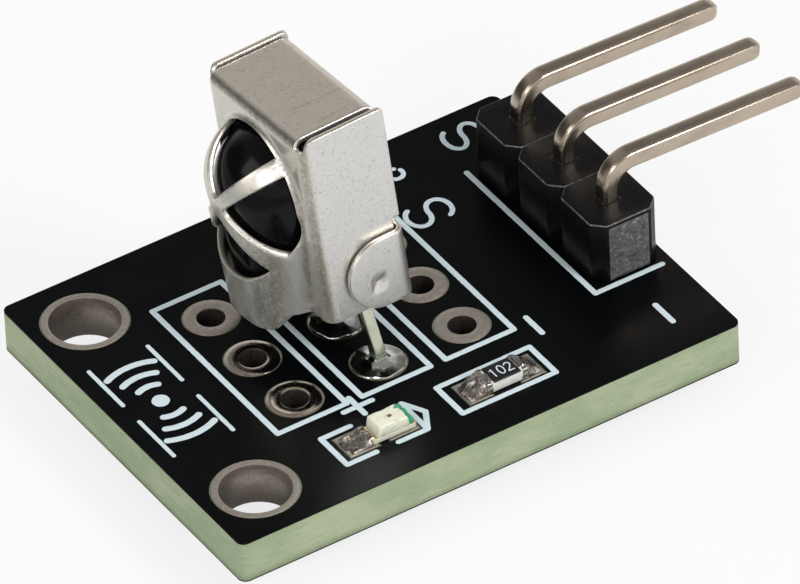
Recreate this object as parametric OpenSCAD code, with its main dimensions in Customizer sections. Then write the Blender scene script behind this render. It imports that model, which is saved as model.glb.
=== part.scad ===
// Infrared receiver module: a shielded three-lead receiver, a bent three-pin
// header, a chip resistor and a chip lamp on a small plated-hole board.
// Millimetres. The origin lies midway between the two mounting holes on the
// board's underside, X runs along the board to the header and Z points up.

/* [Board] */
// Length of the board along X
board_len = 19.3; // [17:0.1:30]
// Width of the board along Y
board_w = 14.7; // [13:0.1:24]
// Thickness of the finished board
board_t = 1.6; // [0.8:0.1:2.4]
// Radius of the board's corners
board_corner_r = 0.3; // [0.1:0.05:1]
// Thickness of the copper and mask film on each face
film_t = 0.05; // [0.03:0.01:0.1]
// Gap between a pad and the mask around it
mask_gap = 0.05; // [0.02:0.01:0.1]
// Thickness of the printed lines
print_t = 0.02; // [0.01:0.01:0.05]
// Width of the printed lines
print_w = 0.25; // [0.15:0.01:0.4]
// Play left round whatever is soldered, pressed or moulded in
seat_gap = 0.01; // [0.005:0.005:0.03]

/* [Mounting holes] */
// Distance from the board's end to the line through both holes
mount_edge = 1.92; // [1.7:0.01:3]
// Distance from the board's sides to the holes
mount_side = 2.15; // [1.7:0.01:4]
// Clear diameter of each hole
mount_hole_d = 2.4; // [2:0.1:3]
// Width of the tinned ring round each hole
mount_ring_w = 0.25; // [0.1:0.05:0.4]
// Thickness of the plating in every hole
plating_t = 0.05; // [0.03:0.01:0.08]

/* [Lead pattern] */
// Pitch of the leads and of the header pins
grid_pitch = 2.54; // [2.4:0.01:2.8]
// Distance from the mounting holes to the first column of lead holes
column_x = 3.45; // [3:0.01:4]
// Pitch of the three columns of lead holes
column_pitch = 3.235; // [2.9:0.005:3.5]
// Position of the middle lead row across the board
row_y = 0.42; // [-0.5:0.01:0.6]
// Clear diameter of a lead hole
lead_hole_d = 0.95; // [0.8:0.05:1.1]
// Diameter of a lead hole's pad
lead_pad_d = 1.85; // [1.5:0.05:2]
// How far leads and pins stand out under the board
tail_len = 1; // [0.6:0.1:1.6]

/* [Printed boxes] */
// Gap between the boxes round neighbouring lead columns
box_gap = 0.39; // [0.3:0.01:0.6]
// How far the boxes reach past the outer lead rows
box_margin = 1.38; // [1.2:0.01:1.5]
// Shift of the boxes towards the mounting holes
box_shift_x = 0.08; // [0:0.01:0.15]
// Shift of the boxes towards the board's left side
box_shift_y = 0.08; // [0:0.01:0.15]
// Gap between the header's housing and the line beside it
header_line_gap = 0.18; // [0.05:0.01:0.4]
// How far the line past the housing's end lies from it
header_line_end = 0.34; // [0.25:0.01:0.5]
// How far the lines stop short of the housing's far side and end
header_line_short = 0.1; // [0:0.01:0.3]
// Shift of the resistor's box towards the mounting holes
resistor_box_off = 0.1; // [-0.1:0.01:0.15]

/* [Pin header] */
// Distance from the mounting holes to the header's pins
header_x = 15.89; // [15:0.01:16]
// Position of the middle pin across the board
header_y = 0.73; // [-1:0.01:1.5]
// Depth of the housing along X
housing_d = 2.54; // [2.2:0.01:2.6]
// Height of the housing
housing_h = 2.33; // [1.8:0.01:3]
// Corner cut between and beside the housing's units
housing_cut = 0.42; // [0.2:0.01:0.6]
// Width and depth of a square pin
pin_w = 0.64; // [0.5:0.01:0.7]
// Corner chamfer of a pin
pin_edge = 0.08; // [0.03:0.01:0.12]
// Taper length at each pin end
pin_tip = 0.3; // [0.1:0.05:0.5]
// How far each side of a pin tapers in at its ends
pin_tip_in = 0.13; // [0.05:0.01:0.2]
// Radius of the pin's bend at its centre line
pin_bend_r = 0.92; // [0.7:0.01:1.2]
// Height of the bent pins' centre line over the board
pin_rise = 3.65; // [3.5:0.01:5]
// Distance from a pin's upright part to its tip
pin_reach = 7.61; // [4:0.01:10]
// Angle by which the pins point down
pin_droop = 1.5; // [0:0.5:4]
// Clear diameter of a header hole
pin_hole_d = 1.05; // [0.95:0.05:1.2]
// Diameter of a header hole's pad
pin_pad_d = 1.7; // [1.5:0.05:2]

/* [Solder] */
// Solder left round a lead or pin at the joint's tip
solder_wall = 0.12; // [0.08:0.01:0.2]
// How far a joint hangs under the board
solder_drop = 0.72; // [0.4:0.01:0.8]
// Height under the board at which a joint starts to spread
solder_belly = 0.4; // [0.2:0.01:0.5]
// How much wider a joint is there than at its tip
solder_flare = 0.1; // [0.05:0.01:0.2]
// How far a joint stays inside the edge of its pad
solder_in = 0.07; // [0.05:0.01:0.2]
// Height of the solder round a lead on the top side
solder_rise = 0.22; // [0.1:0.01:0.35]
// Height of the solder's toe at a chip pad's far edge, as a share
fillet_toe = 0.15; // [0.05:0.01:0.3]
// How far a chip's solder stays inside its pad's sides
fillet_side = 0.15; // [0.05:0.01:0.3]
// How far a chip's solder stays inside its pad's far edge
fillet_end = 0.03; // [0.01:0.01:0.1]
// Height of the solder on the resistor's ends, as a share
resistor_wet = 0.75; // [0.4:0.05:0.9]

/* [Receiver shield] */
// Depth of the can along X
can_d = 3.16; // [2.8:0.01:4]
// Width of the can along Y
can_w = 6; // [5.7:0.05:6.6]
// Height of the can's top panel
can_h = 7.15; // [6.8:0.05:8]
// Thickness of the sheet
sheet_t = 0.2; // [0.15:0.01:0.25]
// Gap left where two folded panels meet
fold_gap = 0.04; // [0.02:0.01:0.08]
// Outer radius of the upright bends
bend_r = 0.5; // [0.35:0.01:0.7]
// Outer radius of the bends at the top panel's ends
cap_bend_r = 0.4; // [0.3:0.01:0.6]
// Open seam between the top panel and a side panel
seam_w = 0.33; // [0.15:0.01:0.5]
// How far the side panels stand above the top panel
side_rise = 0.1; // [0:0.01:0.2]
// Length of the top strip's ends below its bends
cap_skirt = 0.4; // [0.2:0.01:0.6]
// How far the seam's notch reaches behind the front bend
seam_notch = 0.12; // [0:0.01:0.3]
// Height of the dome's centre on the front panel
dome_z = 4.2; // [3.6:0.05:4.4]
// Outer radius of the dome
dome_r = 2.46; // [2.3:0.01:2.6]
// How far the dome's centre lies behind the front face
dome_inset = 0.58; // [0.4:0.01:0.8]
// Radius of the window in the dome
window_r = 2.3; // [2:0.01:2.4]
// Width of the cage's crossed straps
strap_w = 0.36; // [0.25:0.01:0.6]
// Corner radius of the cage's openings
window_corner_r = 0.28; // [0.1:0.01:0.4]
// How far the chin under the dome stands out at its foot
chin_out = 1.5; // [1:0.01:1.8]
// Half width of the chin's foot, to the middle of its cut corners
chin_flat = 1.3; // [0.8:0.01:1.5]
// Length along X of the foot's cut corners
chin_corner_x = 0.57; // [0.3:0.01:0.7]
// Half length along Y of the foot's cut corners
chin_corner_y = 0.4; // [0.2:0.01:0.5]
// Half width of the foot just behind the front panel
chin_side = 1.95; // [1.8:0.01:2.1]
// How far behind the dome's centre the foot reaches
chin_back = 0.4; // [0.2:0.01:0.6]
// How much narrower than the dome the foot is there
chin_tuck = 0.6; // [0.5:0.01:0.8]
// How far the foot bulges at its middle
chin_crown = 0.04; // [0.02:0.01:0.1]
// How far the tongue hangs below the can
tongue_drop = 0.3; // [0:0.01:0.5]
// Half width of the tongue
tongue_w = 1.5; // [1:0.01:1.7]
// Height of the two clasping ears
ear_h = 2.6; // [2:0.01:3]
// How far an ear reaches forward from the back face
ear_reach = 2.33; // [1.8:0.01:2.7]
// Inner radius of the bends round to the ears
ear_bend = 0.12; // [0.05:0.01:0.2]
// Width of the pressed dimple in an ear
dimple_w = 0.66; // [0.4:0.01:0.8]
// Depth of a dimple
dimple_depth = 0.12; // [0.05:0.01:0.15]
// Distance of a dimple from the back face
dimple_x = 1.25; // [0.8:0.01:1.5]
// Height of a dimple over the can's foot
dimple_z = 1; // [0.7:0.01:1.4]
// Height of the notch above each ear
ear_notch_h = 0.35; // [0.2:0.01:0.6]
// Depth of that notch into the back panel
ear_notch_in = 0.15; // [0.05:0.01:0.3]

/* [Receiver seat] */
// Height of the can's foot over the board at its middle
can_lift = 1.92; // [1.5:0.01:3]
// Distance from the lead column to the can's centre
can_shift_x = -0.085; // [-0.3:0.005:0.3]
// Distance from the middle lead row to the can's centre
can_shift_y = 0.56; // [-0.6:0.01:0.8]
// Sideways lean of the can
can_lean = -5.6; // [-8:0.1:8]
// Forward lean of the can
can_nod = -2.8; // [-5:0.1:5]
// Play between the moulded body and the can
body_gap = 0.05; // [0.02:0.01:0.1]
// Height of the body's foot inside the can
body_foot = 0.15; // [0:0.01:0.5]
// Gap between the lens and the dome
lens_gap = 0.15; // [0.1:0.01:0.3]
// Width of a receiver lead along Y
lead_w = 0.5; // [0.4:0.01:0.55]
// Thickness of a receiver lead along X
lead_t = 0.4; // [0.3:0.01:0.5]
// Depth of each lead inside the moulded body
lead_root = 1.5; // [0.8:0.1:3]
// Straight length of a lead below the moulded body
neck_len = 0.25; // [0.1:0.05:0.5]
// Height over the board at which a lead starts to slant
knee_h = 0.4; // [0.3:0.05:0.8]
// How much thinner a lead is on each side where it slants
slant_in = 0.03; // [0.025:0.005:0.05]
// Resin left beside the outer leads where they enter the body
root_wall = 0.1; // [0.05:0.01:0.3]

/* [Resistor] */
// Distance from the mounting holes to the middle of the resistor's pads
resistor_pad_x = 9.38; // [9:0.01:10]
// How far the resistor sits off that middle
resistor_off = 0.04; // [-0.1:0.01:0.1]
// Gap between the resistor's pads
resistor_pad_gap = 1.1; // [0.9:0.01:1.2]
// Length of each of the resistor's pads
resistor_pad_len = 0.9; // [0.7:0.01:1]
// Length of the resistor
resistor_len = 1.6; // [1.5:0.01:1.7]
// Width of the resistor
resistor_w = 0.85; // [0.7:0.01:0.9]
// Height of the resistor
resistor_h = 0.45; // [0.3:0.01:0.6]
// Length of each metal end cap
cap_len = 0.22; // [0.15:0.01:0.27]
// Thickness of the metal on an end cap
cap_t = 0.04; // [0.02:0.01:0.06]
// Length of the dark coat on the resistor
coat_len = 1.05; // [0.7:0.01:1.1]

/* [Lamp] */
// Distance from the mounting holes to the middle of the lamp's pads
lamp_pad_x = 4.66; // [4.5:0.01:4.8]
// How far the lamp sits off that middle
lamp_off = 0.4; // [0:0.01:0.45]
// Gap between the lamp's pads
lamp_pad_gap = 0.4; // [0.3:0.01:0.6]
// Length of each of the lamp's pads
lamp_pad_len = 1.12; // [1:0.01:1.3]
// Length of the lamp's base
lamp_len = 1.7; // [1.6:0.01:1.75]
// Width of the lamp's base
lamp_w = 0.8; // [0.7:0.01:0.9]
// Thickness of the lamp's base
lamp_base_h = 0.2; // [0.15:0.01:0.3]
// Length of the clear block
lens_len = 1.1; // [0.9:0.01:1.2]
// Height of the clear block
lens_h = 0.4; // [0.3:0.01:0.5]
// Slope taken off each end of the clear block
lens_slope = 0.08; // [0:0.01:0.15]
// Gap between the clear block and the lamp's end metal
lens_end_gap = 0.02; // [0.01:0.01:0.05]
// Length of the printed point beyond the lamp
lamp_point = 0.5; // [0.4:0.01:0.6]

/* [Chip row] */
// Distance from the board's right side to the middle of the chips' pads
chip_edge = 2.21; // [1.9:0.01:2.4]
// How far the chips sit off their pads across the board
chip_off = -0.09; // [-0.12:0.01:0.12]
// Width of a chip's pad
pad_w = 1.12; // [1:0.01:1.15]
// Gap between the chips' pads and the printed lines beyond their ends
outline_end = 0.2; // [0.1:0.01:0.5]
// Gap between the chips' pads and the printed lines beside them
outline_side = 0.13; // [0.08:0.01:0.2]

/* [Hidden] */
$fn = 48;
lap = 0.05;
far = 20;
slice = 0.02;
mid_x = board_len / 2 - mount_edge;
lam_z = board_t - film_t;
mount_pad_d = mount_hole_d + 2 * mount_ring_w;
receiver_x = column_x + column_pitch;
mount_span = board_w - 2 * mount_side;
mount_pts = [for (s = [-1, 1]) [0, s * mount_span / 2]];
rows = [for (i = [-1 : 1]) row_y + i * grid_pitch];
lead_pts = [for (i = [0 : 2], y = rows) [column_x + i * column_pitch, y]];
receiver_pts = [for (y = rows) [receiver_x, y]];
header_pts = [for (i = [-1 : 1]) [header_x, header_y + i * grid_pitch]];
pin_top_z = board_t + pin_rise;
pin_turn_z = pin_top_z - pin_bend_r * cos(pin_droop);
pin_run = (pin_reach - pin_bend_r * (1 + sin(pin_droop))) / cos(pin_droop);
can_x = receiver_x + can_shift_x;
can_y = row_y + can_shift_y;
can_z = board_t + can_lift;
front_x = -can_d / 2;
back_x = can_d / 2;
dome_x = front_x + dome_inset;
side_top = can_h + side_rise;
cap_w = can_w - 2 * (sheet_t + seam_w);
ear_y = can_w / 2 + fold_gap + sheet_t;
root_pitch = can_w / 2 - sheet_t - body_gap - root_wall - lead_w / 2;
chip_pad_y = chip_edge - board_w / 2;
chip_y = chip_pad_y + chip_off;
resistor_x = resistor_pad_x + resistor_off;
lamp_x = lamp_pad_x + lamp_off;
resistor_span = resistor_pad_gap / 2 + resistor_pad_len;
lamp_span = lamp_pad_gap / 2 + lamp_pad_len;
lamp_top = board_t + lamp_base_h;
box_w = column_pitch - box_gap;

// Board outline with small corner arcs
module board_plan() {
  translate([mid_x, 0]) {
    square([board_len - 2 * board_corner_r, board_w], center = true);
    square([board_len, board_w - 2 * board_corner_r], center = true);
    for (sx = [-1, 1], sy = [-1, 1])
      translate([sx * (board_len / 2 - board_corner_r),
                 sy * (board_w / 2 - board_corner_r)])
        circle(board_corner_r);
  }
}

// One round hole of diameter d at each point
module holes(pts, d) {
  for (p = pts) translate(p) circle(d = d);
}

// A chip's two pads about x, grown by g
module chip_pads(x, gap, l, g = 0) {
  for (s = [-1, 1]) translate([x + s * (gap + l) / 2, chip_pad_y])
    square([l + 2 * g, pad_w + 2 * g], center = true);
}

module resistor_pad_plan(g = 0) {
  chip_pads(resistor_pad_x, resistor_pad_gap, resistor_pad_len, g);
}

module lamp_pad_plan(g = 0) {
  chip_pads(lamp_pad_x, lamp_pad_gap, lamp_pad_len, g);
}

module mask_plan() {
  difference() {
    board_plan();
    holes(mount_pts, mount_pad_d + 2 * mask_gap);
    holes(lead_pts, lead_pad_d + 2 * mask_gap);
    holes(header_pts, pin_pad_d + 2 * mask_gap);
  }
}

// A plated hole: a thin tube with a flat pad on each face of the board
module plated_hole(hole_d, pad_d) {
  r = hole_d / 2;
  rotate_extrude() polygon([
    [r, 0], [pad_d / 2, 0], [pad_d / 2, film_t], [r + plating_t, film_t],
    [r + plating_t, lam_z], [pad_d / 2, lam_z], [pad_d / 2, board_t],
    [r, board_t]]);
}

module pcb_laminate() {
  bore = 2 * (plating_t + seat_gap);
  color([0.50, 0.55, 0.42]) translate([0, 0, film_t])
    linear_extrude(board_t - 2 * film_t) difference() {
      board_plan();
      holes(mount_pts, mount_hole_d + bore);
      holes(lead_pts, lead_hole_d + bore);
      holes(header_pts, pin_hole_d + bore);
    }
}

module solder_mask_top() {
  color([0.02, 0.025, 0.03]) translate([0, 0, lam_z])
    linear_extrude(film_t) difference() {
      mask_plan();
      resistor_pad_plan(mask_gap);
      lamp_pad_plan(mask_gap);
    }
}

module solder_mask_bottom() {
  color([0.02, 0.025, 0.03]) linear_extrude(film_t) mask_plan();
}

// A printed rectangle drawn as a line, given by its outer corners
module line_frame(x0, y0, x1, y1) {
  difference() {
    translate([x0, y0]) square([x1 - x0, y1 - y0]);
    translate([x0 + print_w, y0 + print_w])
      square([x1 - x0 - 2 * print_w, y1 - y0 - 2 * print_w]);
  }
}

module column_frames() {
  for (i = [0 : 2]) {
    x = column_x + i * column_pitch - box_shift_x;
    line_frame(x - box_w / 2, rows[0] - box_margin + box_shift_y,
               x + box_w / 2, rows[2] + box_margin + box_shift_y);
  }
}

module header_outline() {
  x0 = header_x - housing_d / 2 - header_line_gap - print_w;
  x1 = header_x + housing_d / 2 - header_line_short;
  y0 = header_pts[0].y - grid_pitch / 2 - header_line_end;
  y1 = header_pts[2].y + grid_pitch / 2 - header_line_short;
  difference() {
    line_frame(x0, y0, x1, y1);
    for (p = header_pts) translate(p)
      square([housing_d + 2 * seat_gap, grid_pitch + 2 * seat_gap],
             center = true);
  }
}

module resistor_outline() {
  y = pad_w / 2 + outline_side + print_w;
  x = resistor_span + outline_end + print_w;
  line_frame(resistor_pad_x - x - resistor_box_off, chip_pad_y - y,
             resistor_pad_x + x - resistor_box_off, chip_pad_y + y);
}

// The lamp's printed mark: an open bracket and a pointed end
module lamp_outline() {
  h = pad_w / 2 + outline_side + print_w;
  y0 = chip_pad_y - h;
  y1 = chip_pad_y + h;
  x0 = lamp_pad_x - lamp_span - outline_end - print_w;
  x1 = lamp_pad_x + lamp_span + mask_gap + print_w;
  arm = lamp_pad_len + outline_end;
  translate([x0, y0]) square([print_w, y1 - y0]);
  translate([x0, y0]) square([arm, print_w]);
  translate([x0, y1 - print_w]) square([arm, print_w]);
  translate([x1 - arm, y0]) square([arm, print_w]);
  difference() {
    polygon([[x1, y0], [x1 + lamp_point, chip_pad_y], [x1, y1],
             [x1 - print_w, y1], [x1 - print_w, y0]]);
    polygon([[x1, y0 + 2 * print_w], [x1, y1 - 2 * print_w],
             [x1 + lamp_point - print_w, chip_pad_y]]);
  }
}

module silkscreen_top() {
  color([0.75, 0.84, 0.88]) translate([0, 0, board_t])
    linear_extrude(print_t) {
      column_frames();
      header_outline();
      resistor_outline();
      lamp_outline();
    }
}

module mounting_hole_plating() {
  color([0.62, 0.58, 0.54])
    for (p = mount_pts) translate(p) plated_hole(mount_hole_d, mount_pad_d);
}

module lead_hole_plating() {
  color([0.62, 0.58, 0.54])
    for (p = lead_pts) translate(p) plated_hole(lead_hole_d, lead_pad_d);
}

module header_hole_plating() {
  color([0.62, 0.58, 0.54])
    for (p = header_pts) translate(p) plated_hole(pin_hole_d, pin_pad_d);
}

module resistor_pads() {
  color([0.62, 0.58, 0.54]) translate([0, 0, lam_z])
    linear_extrude(film_t) resistor_pad_plan();
}

module lamp_pads() {
  color([0.62, 0.58, 0.54]) translate([0, 0, lam_z])
    linear_extrude(film_t) lamp_pad_plan();
}

// Cross-section of a pin, grown by g: a square with its corners cut
module pin_section(g = 0) {
  w = pin_w + 2 * g;
  intersection() {
    square(w, center = true);
    rotate(45) square((w - pin_edge) * sqrt(2), center = true);
  }
}

// Straight pin of length l from its foot, with a tapered far end
module pin_bar(l) {
  h = pin_w / 2;
  t = h - pin_tip_in;
  side = [[-h, 0], [h, 0], [h, l - pin_tip], [t, l], [-t, l],
          [-h, l - pin_tip]];
  intersection() {
    linear_extrude(l) pin_section();
    rotate([90, 0, 0]) linear_extrude(2 * pin_w, center = true)
      polygon(side);
    rotate([90, 0, 90]) linear_extrude(2 * pin_w, center = true)
      polygon(side);
  }
}

// One header pin: a bend with a straight bar on each end
module header_pin(p) {
  turn = 90 + pin_droop;
  color([0.60, 0.55, 0.49])
    translate([p.x + pin_bend_r, p.y, pin_turn_z]) rotate([90, 0, 0])
      rotate(90 - pin_droop) {
        rotate_extrude(angle = turn) translate([pin_bend_r, 0])
          pin_section();
        translate([pin_bend_r, 0, 0]) rotate([90, 0, 0]) pin_bar(pin_run);
        rotate(turn) translate([pin_bend_r, 0, 0]) rotate([-90, 0, 0])
          pin_bar(pin_turn_z + tail_len);
      }
}

module header_pin_1() { header_pin(header_pts[2]); }

module header_pin_2() { header_pin(header_pts[1]); }

module header_pin_3() { header_pin(header_pts[0]); }

module housing_unit() {
  x = housing_d / 2;
  y = grid_pitch / 2;
  c = housing_cut;
  polygon([[x, -y + c], [x, y - c], [x - c, y], [-x + c, y], [-x, y - c],
           [-x, -y + c], [-x + c, -y], [x - c, -y]]);
}

module header_housing() {
  color([0.03, 0.03, 0.035]) translate([0, 0, board_t])
    linear_extrude(housing_h) difference() {
      for (p = header_pts) translate(p) housing_unit();
      for (p = header_pts) translate(p) pin_section(seat_gap);
    }
}

// Solder in and under a plated hole, cut out for the bar it holds
module solder_joint(hole_d, pad_d, rise) {
  r = hole_d / 2 - seat_gap;
  rim = pad_d / 2 - solder_in;
  tip = pin_w / 2 + solder_wall;
  top_z = board_t + rise;
  difference() {
    rotate_extrude() polygon(concat(
      [[0, -solder_drop], [tip, -solder_drop],
       [tip + solder_flare, -solder_belly], [rim, 0], [r, 0],
       [r, board_t]],
      rise > 0
        ? [[rim, board_t], [tip, board_t + rise / 2],
           [tip - solder_flare, top_z]]
        : [],
      [[0, top_z]]));
    children();
  }
}

module header_solder() {
  color([0.72, 0.72, 0.72])
    for (p = header_pts) translate(p)
      solder_joint(pin_hole_d, pin_pad_d, 0)
        translate([0, 0, -2 * tail_len])
          linear_extrude(far) pin_section(seat_gap);
}

// Places its children in the can's own frame
module in_can() {
  translate([can_x, can_y, can_z]) rotate([can_lean, can_nod, 0])
    children();
}

// Strip of can plan with its two front corners rounded
module can_plan(d0, d1, w, r) {
  translate([d0 + r, -w / 2]) square([d1 - d0 - r, w]);
  translate([d0, -w / 2 + r]) square([r + lap, w - 2 * r]);
  for (s = [-1, 1]) translate([d0 + r, s * (w / 2 - r)]) circle(r);
}

// Front panel and both side panels, folded from one strip
module wrap_panels() {
  x1 = back_x - sheet_t - fold_gap;
  difference() {
    linear_extrude(side_top) difference() {
      can_plan(front_x, back_x, can_w, bend_r);
      can_plan(front_x + sheet_t, back_x + far, can_w - 2 * sheet_t,
               bend_r - sheet_t);
    }
    translate([x1, -far, -far])
      cube([far, 2 * far, far + ear_h + ear_notch_h]);
    translate([front_x - lap, -far, can_h - cap_bend_r])
      cube([lap + cap_bend_r + seam_notch, 2 * far, far]);
  }
}

// Outline of the top strip seen from the side, inset by g
module cap_profile(g, z0) {
  r = cap_bend_r - g;
  x0 = front_x + g;
  x1 = back_x - g;
  translate([x0, z0]) square([x1 - x0, can_h - cap_bend_r - z0]);
  translate([x0 + r, can_h - cap_bend_r - lap])
    square([x1 - x0 - 2 * r, r + lap]);
  for (x = [x0 + r, x1 - r]) translate([x, can_h - cap_bend_r]) circle(r);
}

// Top panel with the bends that join it to the front and back panels
module cap_panel() {
  z0 = can_h - cap_bend_r - cap_skirt;
  rotate([90, 0, 0]) linear_extrude(cap_w, center = true) difference() {
    cap_profile(0, z0);
    cap_profile(sheet_t, z0 - far);
  }
}

// Side view of a clasping ear, out to the back face
module ear_shape() {
  r = ear_h / 2;
  translate([back_x - ear_reach + r, r]) circle(r);
  translate([back_x - ear_reach + r, 0]) square([ear_reach, ear_h]);
}

// Back panel foot with its two ears folded forward round the sides
module ear_band() {
  r = sheet_t + ear_bend + fold_gap;
  intersection() {
    linear_extrude(ear_h) difference() {
      mirror([1, 0]) can_plan(-back_x, back_x, 2 * ear_y, r);
      mirror([1, 0]) can_plan(-back_x + sheet_t, far,
                              2 * (ear_y - sheet_t), r - sheet_t);
    }
    rotate([90, 0, 0]) linear_extrude(2 * far, center = true)
      ear_shape();
  }
}

// Back panel between the side panels, narrower at the ear notches
module back_panel() {
  w = can_w - 2 * (sheet_t + fold_gap);
  z0 = ear_h + ear_notch_h;
  z1 = can_h - cap_bend_r - cap_skirt / 2;
  translate([back_x - sheet_t, -w / 2, z0]) cube([sheet_t, w, z1 - z0]);
  translate([back_x - sheet_t, -w / 2 + ear_notch_in, ear_h - lap])
    cube([sheet_t, w - 2 * ear_notch_in, z0 - ear_h + 2 * lap]);
}

// Plan of the dome's chin at its foot, inset by g
module chin_foot(g) {
  x = chin_out - g;
  side = [[dome_inset + chin_back, dome_r - chin_tuck - g],
          [sheet_t / 2, chin_side - g],
          [chin_corner_x - x, chin_flat + chin_corner_y - g],
          [-x, chin_flat - chin_corner_y]];
  polygon(concat(side, [[-x - chin_crown, 0]],
                 [for (i = [3 : -1 : 0]) [side[i].x, -side[i].y]]));
}

// Solid under the dome's skin, inset by g: a ball above, a chin below
module dome_solid(g) {
  hull() {
    translate([dome_x, 0, dome_z]) intersection() {
      sphere(dome_r - g, $fn = 64);
      translate([-far / 2, -far / 2, 0]) cube(far);
    }
    translate([front_x, 0, -tongue_drop]) linear_extrude(slice)
      chin_foot(g);
  }
}

// One of the four openings between the crossed straps
module window_plan() {
  offset(r = window_corner_r) offset(delta = -window_corner_r)
    difference() {
      circle(window_r, $fn = 96);
      for (a = [45, 135]) rotate(a)
        square([3 * window_r, strap_w], center = true);
    }
}

// The drawn dome and its cage, standing out of the front panel
module dome_cage() {
  difference() {
    intersection() {
      dome_solid(0);
      union() {
        translate([front_x - far, -can_w / 2, 0])
          cube([far + sheet_t, can_w, can_h]);
        translate([front_x - far, -tongue_w, -far])
          cube([far, 2 * tongue_w, far + lap]);
      }
    }
    difference() {
      dome_solid(sheet_t);
      translate([front_x, -far / 2, -far]) cube([far, far, far - slice]);
    }
    dome_windows();
  }
}

module dome_windows() {
  translate([front_x - far, 0, dome_z]) rotate([90, 0, 90])
    linear_extrude(far + can_d / 2) window_plan();
}

// The shield: one folded sheet with its drawn dome
module receiver_shield() {
  color([0.66, 0.65, 0.62]) in_can() difference() {
    union() {
      difference() {
        wrap_panels();
        intersection() {
          dome_solid(sheet_t / 2);
          translate([front_x - far / 2, -can_w / 2, -far / 2])
            cube([far / 2 + sheet_t + lap, can_w, far]);
        }
      }
      dome_cage();
      cap_panel();
      back_panel();
      ear_band();
    }
    for (s = [-1, 1])
      translate([back_x - dimple_x, s * (ear_y + seat_gap), dimple_z])
        rotate([s * 90, 0, 0]) rotate(45)
          cylinder(h = dimple_depth + seat_gap, d1 = dimple_w * sqrt(2),
                   d2 = dimple_w / 6, $fn = 4);
  }
}

// Straight lead bar from z0 to z1, grown by g
module lead_bar(z0, z1, g = 0) {
  translate([-lead_t / 2 - g, -lead_w / 2 - g, z0])
    cube([lead_t + 2 * g, lead_w + 2 * g, z1 - z0]);
}

module receiver_body() {
  g = sheet_t + body_gap;
  color([0.02, 0.02, 0.02]) in_can() difference() {
    union() {
      intersection() {
        linear_extrude(can_h)
          can_plan(front_x + g, back_x - g, can_w - 2 * g, bend_r - g);
        rotate([90, 0, 0]) linear_extrude(can_w, center = true)
          cap_profile(g, body_foot);
      }
      intersection() {
        dome_solid(sheet_t + lens_gap);
        translate([front_x - far, -can_w / 2, body_foot])
          cube([far + g + lap, can_w, far]);
      }
    }
    for (i = [-1 : 1]) translate([0, i * root_pitch, 0])
      lead_bar(body_foot - lap, body_foot + lead_root + seat_gap, seat_gap);
  }
}

// One receiver lead: upright in its hole, then slanting into the body
module receiver_lead(i) {
  p = receiver_pts[i + 1];
  knee = board_t + knee_h;
  neck = body_foot - neck_len;
  color([0.66, 0.66, 0.52]) {
    translate(p) lead_bar(-tail_len, knee);
    hull() {
      translate(p) lead_bar(knee - lap, knee, -slant_in);
      in_can() translate([0, i * root_pitch, 0])
        lead_bar(neck, neck + lap, -slant_in);
    }
    in_can() translate([0, i * root_pitch, 0])
      lead_bar(neck, body_foot + lead_root);
  }
}

module receiver_lead_1() { receiver_lead(1); }

module receiver_lead_2() { receiver_lead(0); }

module receiver_lead_3() { receiver_lead(-1); }

module receiver_solder() {
  color([0.72, 0.72, 0.72])
    for (p = receiver_pts) translate(p)
      solder_joint(lead_hole_d, lead_pad_d, solder_rise)
        lead_bar(-far / 2, far / 2, seat_gap);
}

module resistor_ceramic() {
  color([0.85, 0.85, 0.82])
    translate([resistor_x - resistor_len / 2 + cap_t,
               chip_y - resistor_w / 2 + cap_t, board_t + cap_t])
      cube([resistor_len - 2 * cap_t, resistor_w - 2 * cap_t,
            resistor_h - 2 * cap_t]);
}

module resistor_coat() {
  color([0.03, 0.03, 0.03])
    translate([resistor_x - coat_len / 2, chip_y - resistor_w / 2 + cap_t,
               board_t + resistor_h - cap_t])
      cube([coat_len, resistor_w - 2 * cap_t, cap_t]);
}

module resistor_end_caps() {
  color([0.75, 0.73, 0.70]) difference() {
    for (s = [-1, 1])
      translate([resistor_x + s * (resistor_len - cap_len) / 2, chip_y,
                 board_t + resistor_h / 2])
        cube([cap_len, resistor_w, resistor_h], center = true);
    resistor_ceramic();
  }
}

// A solder fillet with a hollow face, rising against a chip's end
module end_fillet(l, h, w) {
  rotate([90, 0, 0]) linear_extrude(w, center = true) difference() {
    polygon([[0, 0], [l, 0], [l, h * fillet_toe], [0, h]]);
    translate([l, h * (1 + fillet_toe)]) circle(min(l, h) - slice);
  }
}

// Fillets at the given ends of a chip, out to its pads' far edges
module chip_solder(x, l, pad_x, span, h, ends = [-1, 1]) {
  for (s = ends) translate([x + s * l / 2, chip_y, board_t])
    mirror([s < 0 ? 1 : 0, 0, 0])
      end_fillet(span - l / 2 - s * (x - pad_x) - fillet_end, h,
                 pad_w - 2 * fillet_side);
}

module resistor_solder() {
  color([0.72, 0.72, 0.72])
    chip_solder(resistor_x, resistor_len, resistor_pad_x, resistor_span,
                resistor_h * resistor_wet);
}

module lamp_base() {
  color([0.80, 0.80, 0.74])
    translate([lamp_x, chip_y, board_t + cap_t + (lamp_base_h - cap_t) / 2])
      cube([lamp_len - 2 * cap_t, lamp_w, lamp_base_h - cap_t],
           center = true);
}

module lamp_lens() {
  t = lens_len / 2;
  color([0.86, 0.86, 0.76]) translate([lamp_x, chip_y, lamp_top])
    rotate([90, 0, 0]) linear_extrude(lamp_w, center = true)
      polygon([[-t, 0], [t, 0], [t - lens_slope, lens_h],
               [-t + lens_slope, lens_h]]);
}

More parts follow.
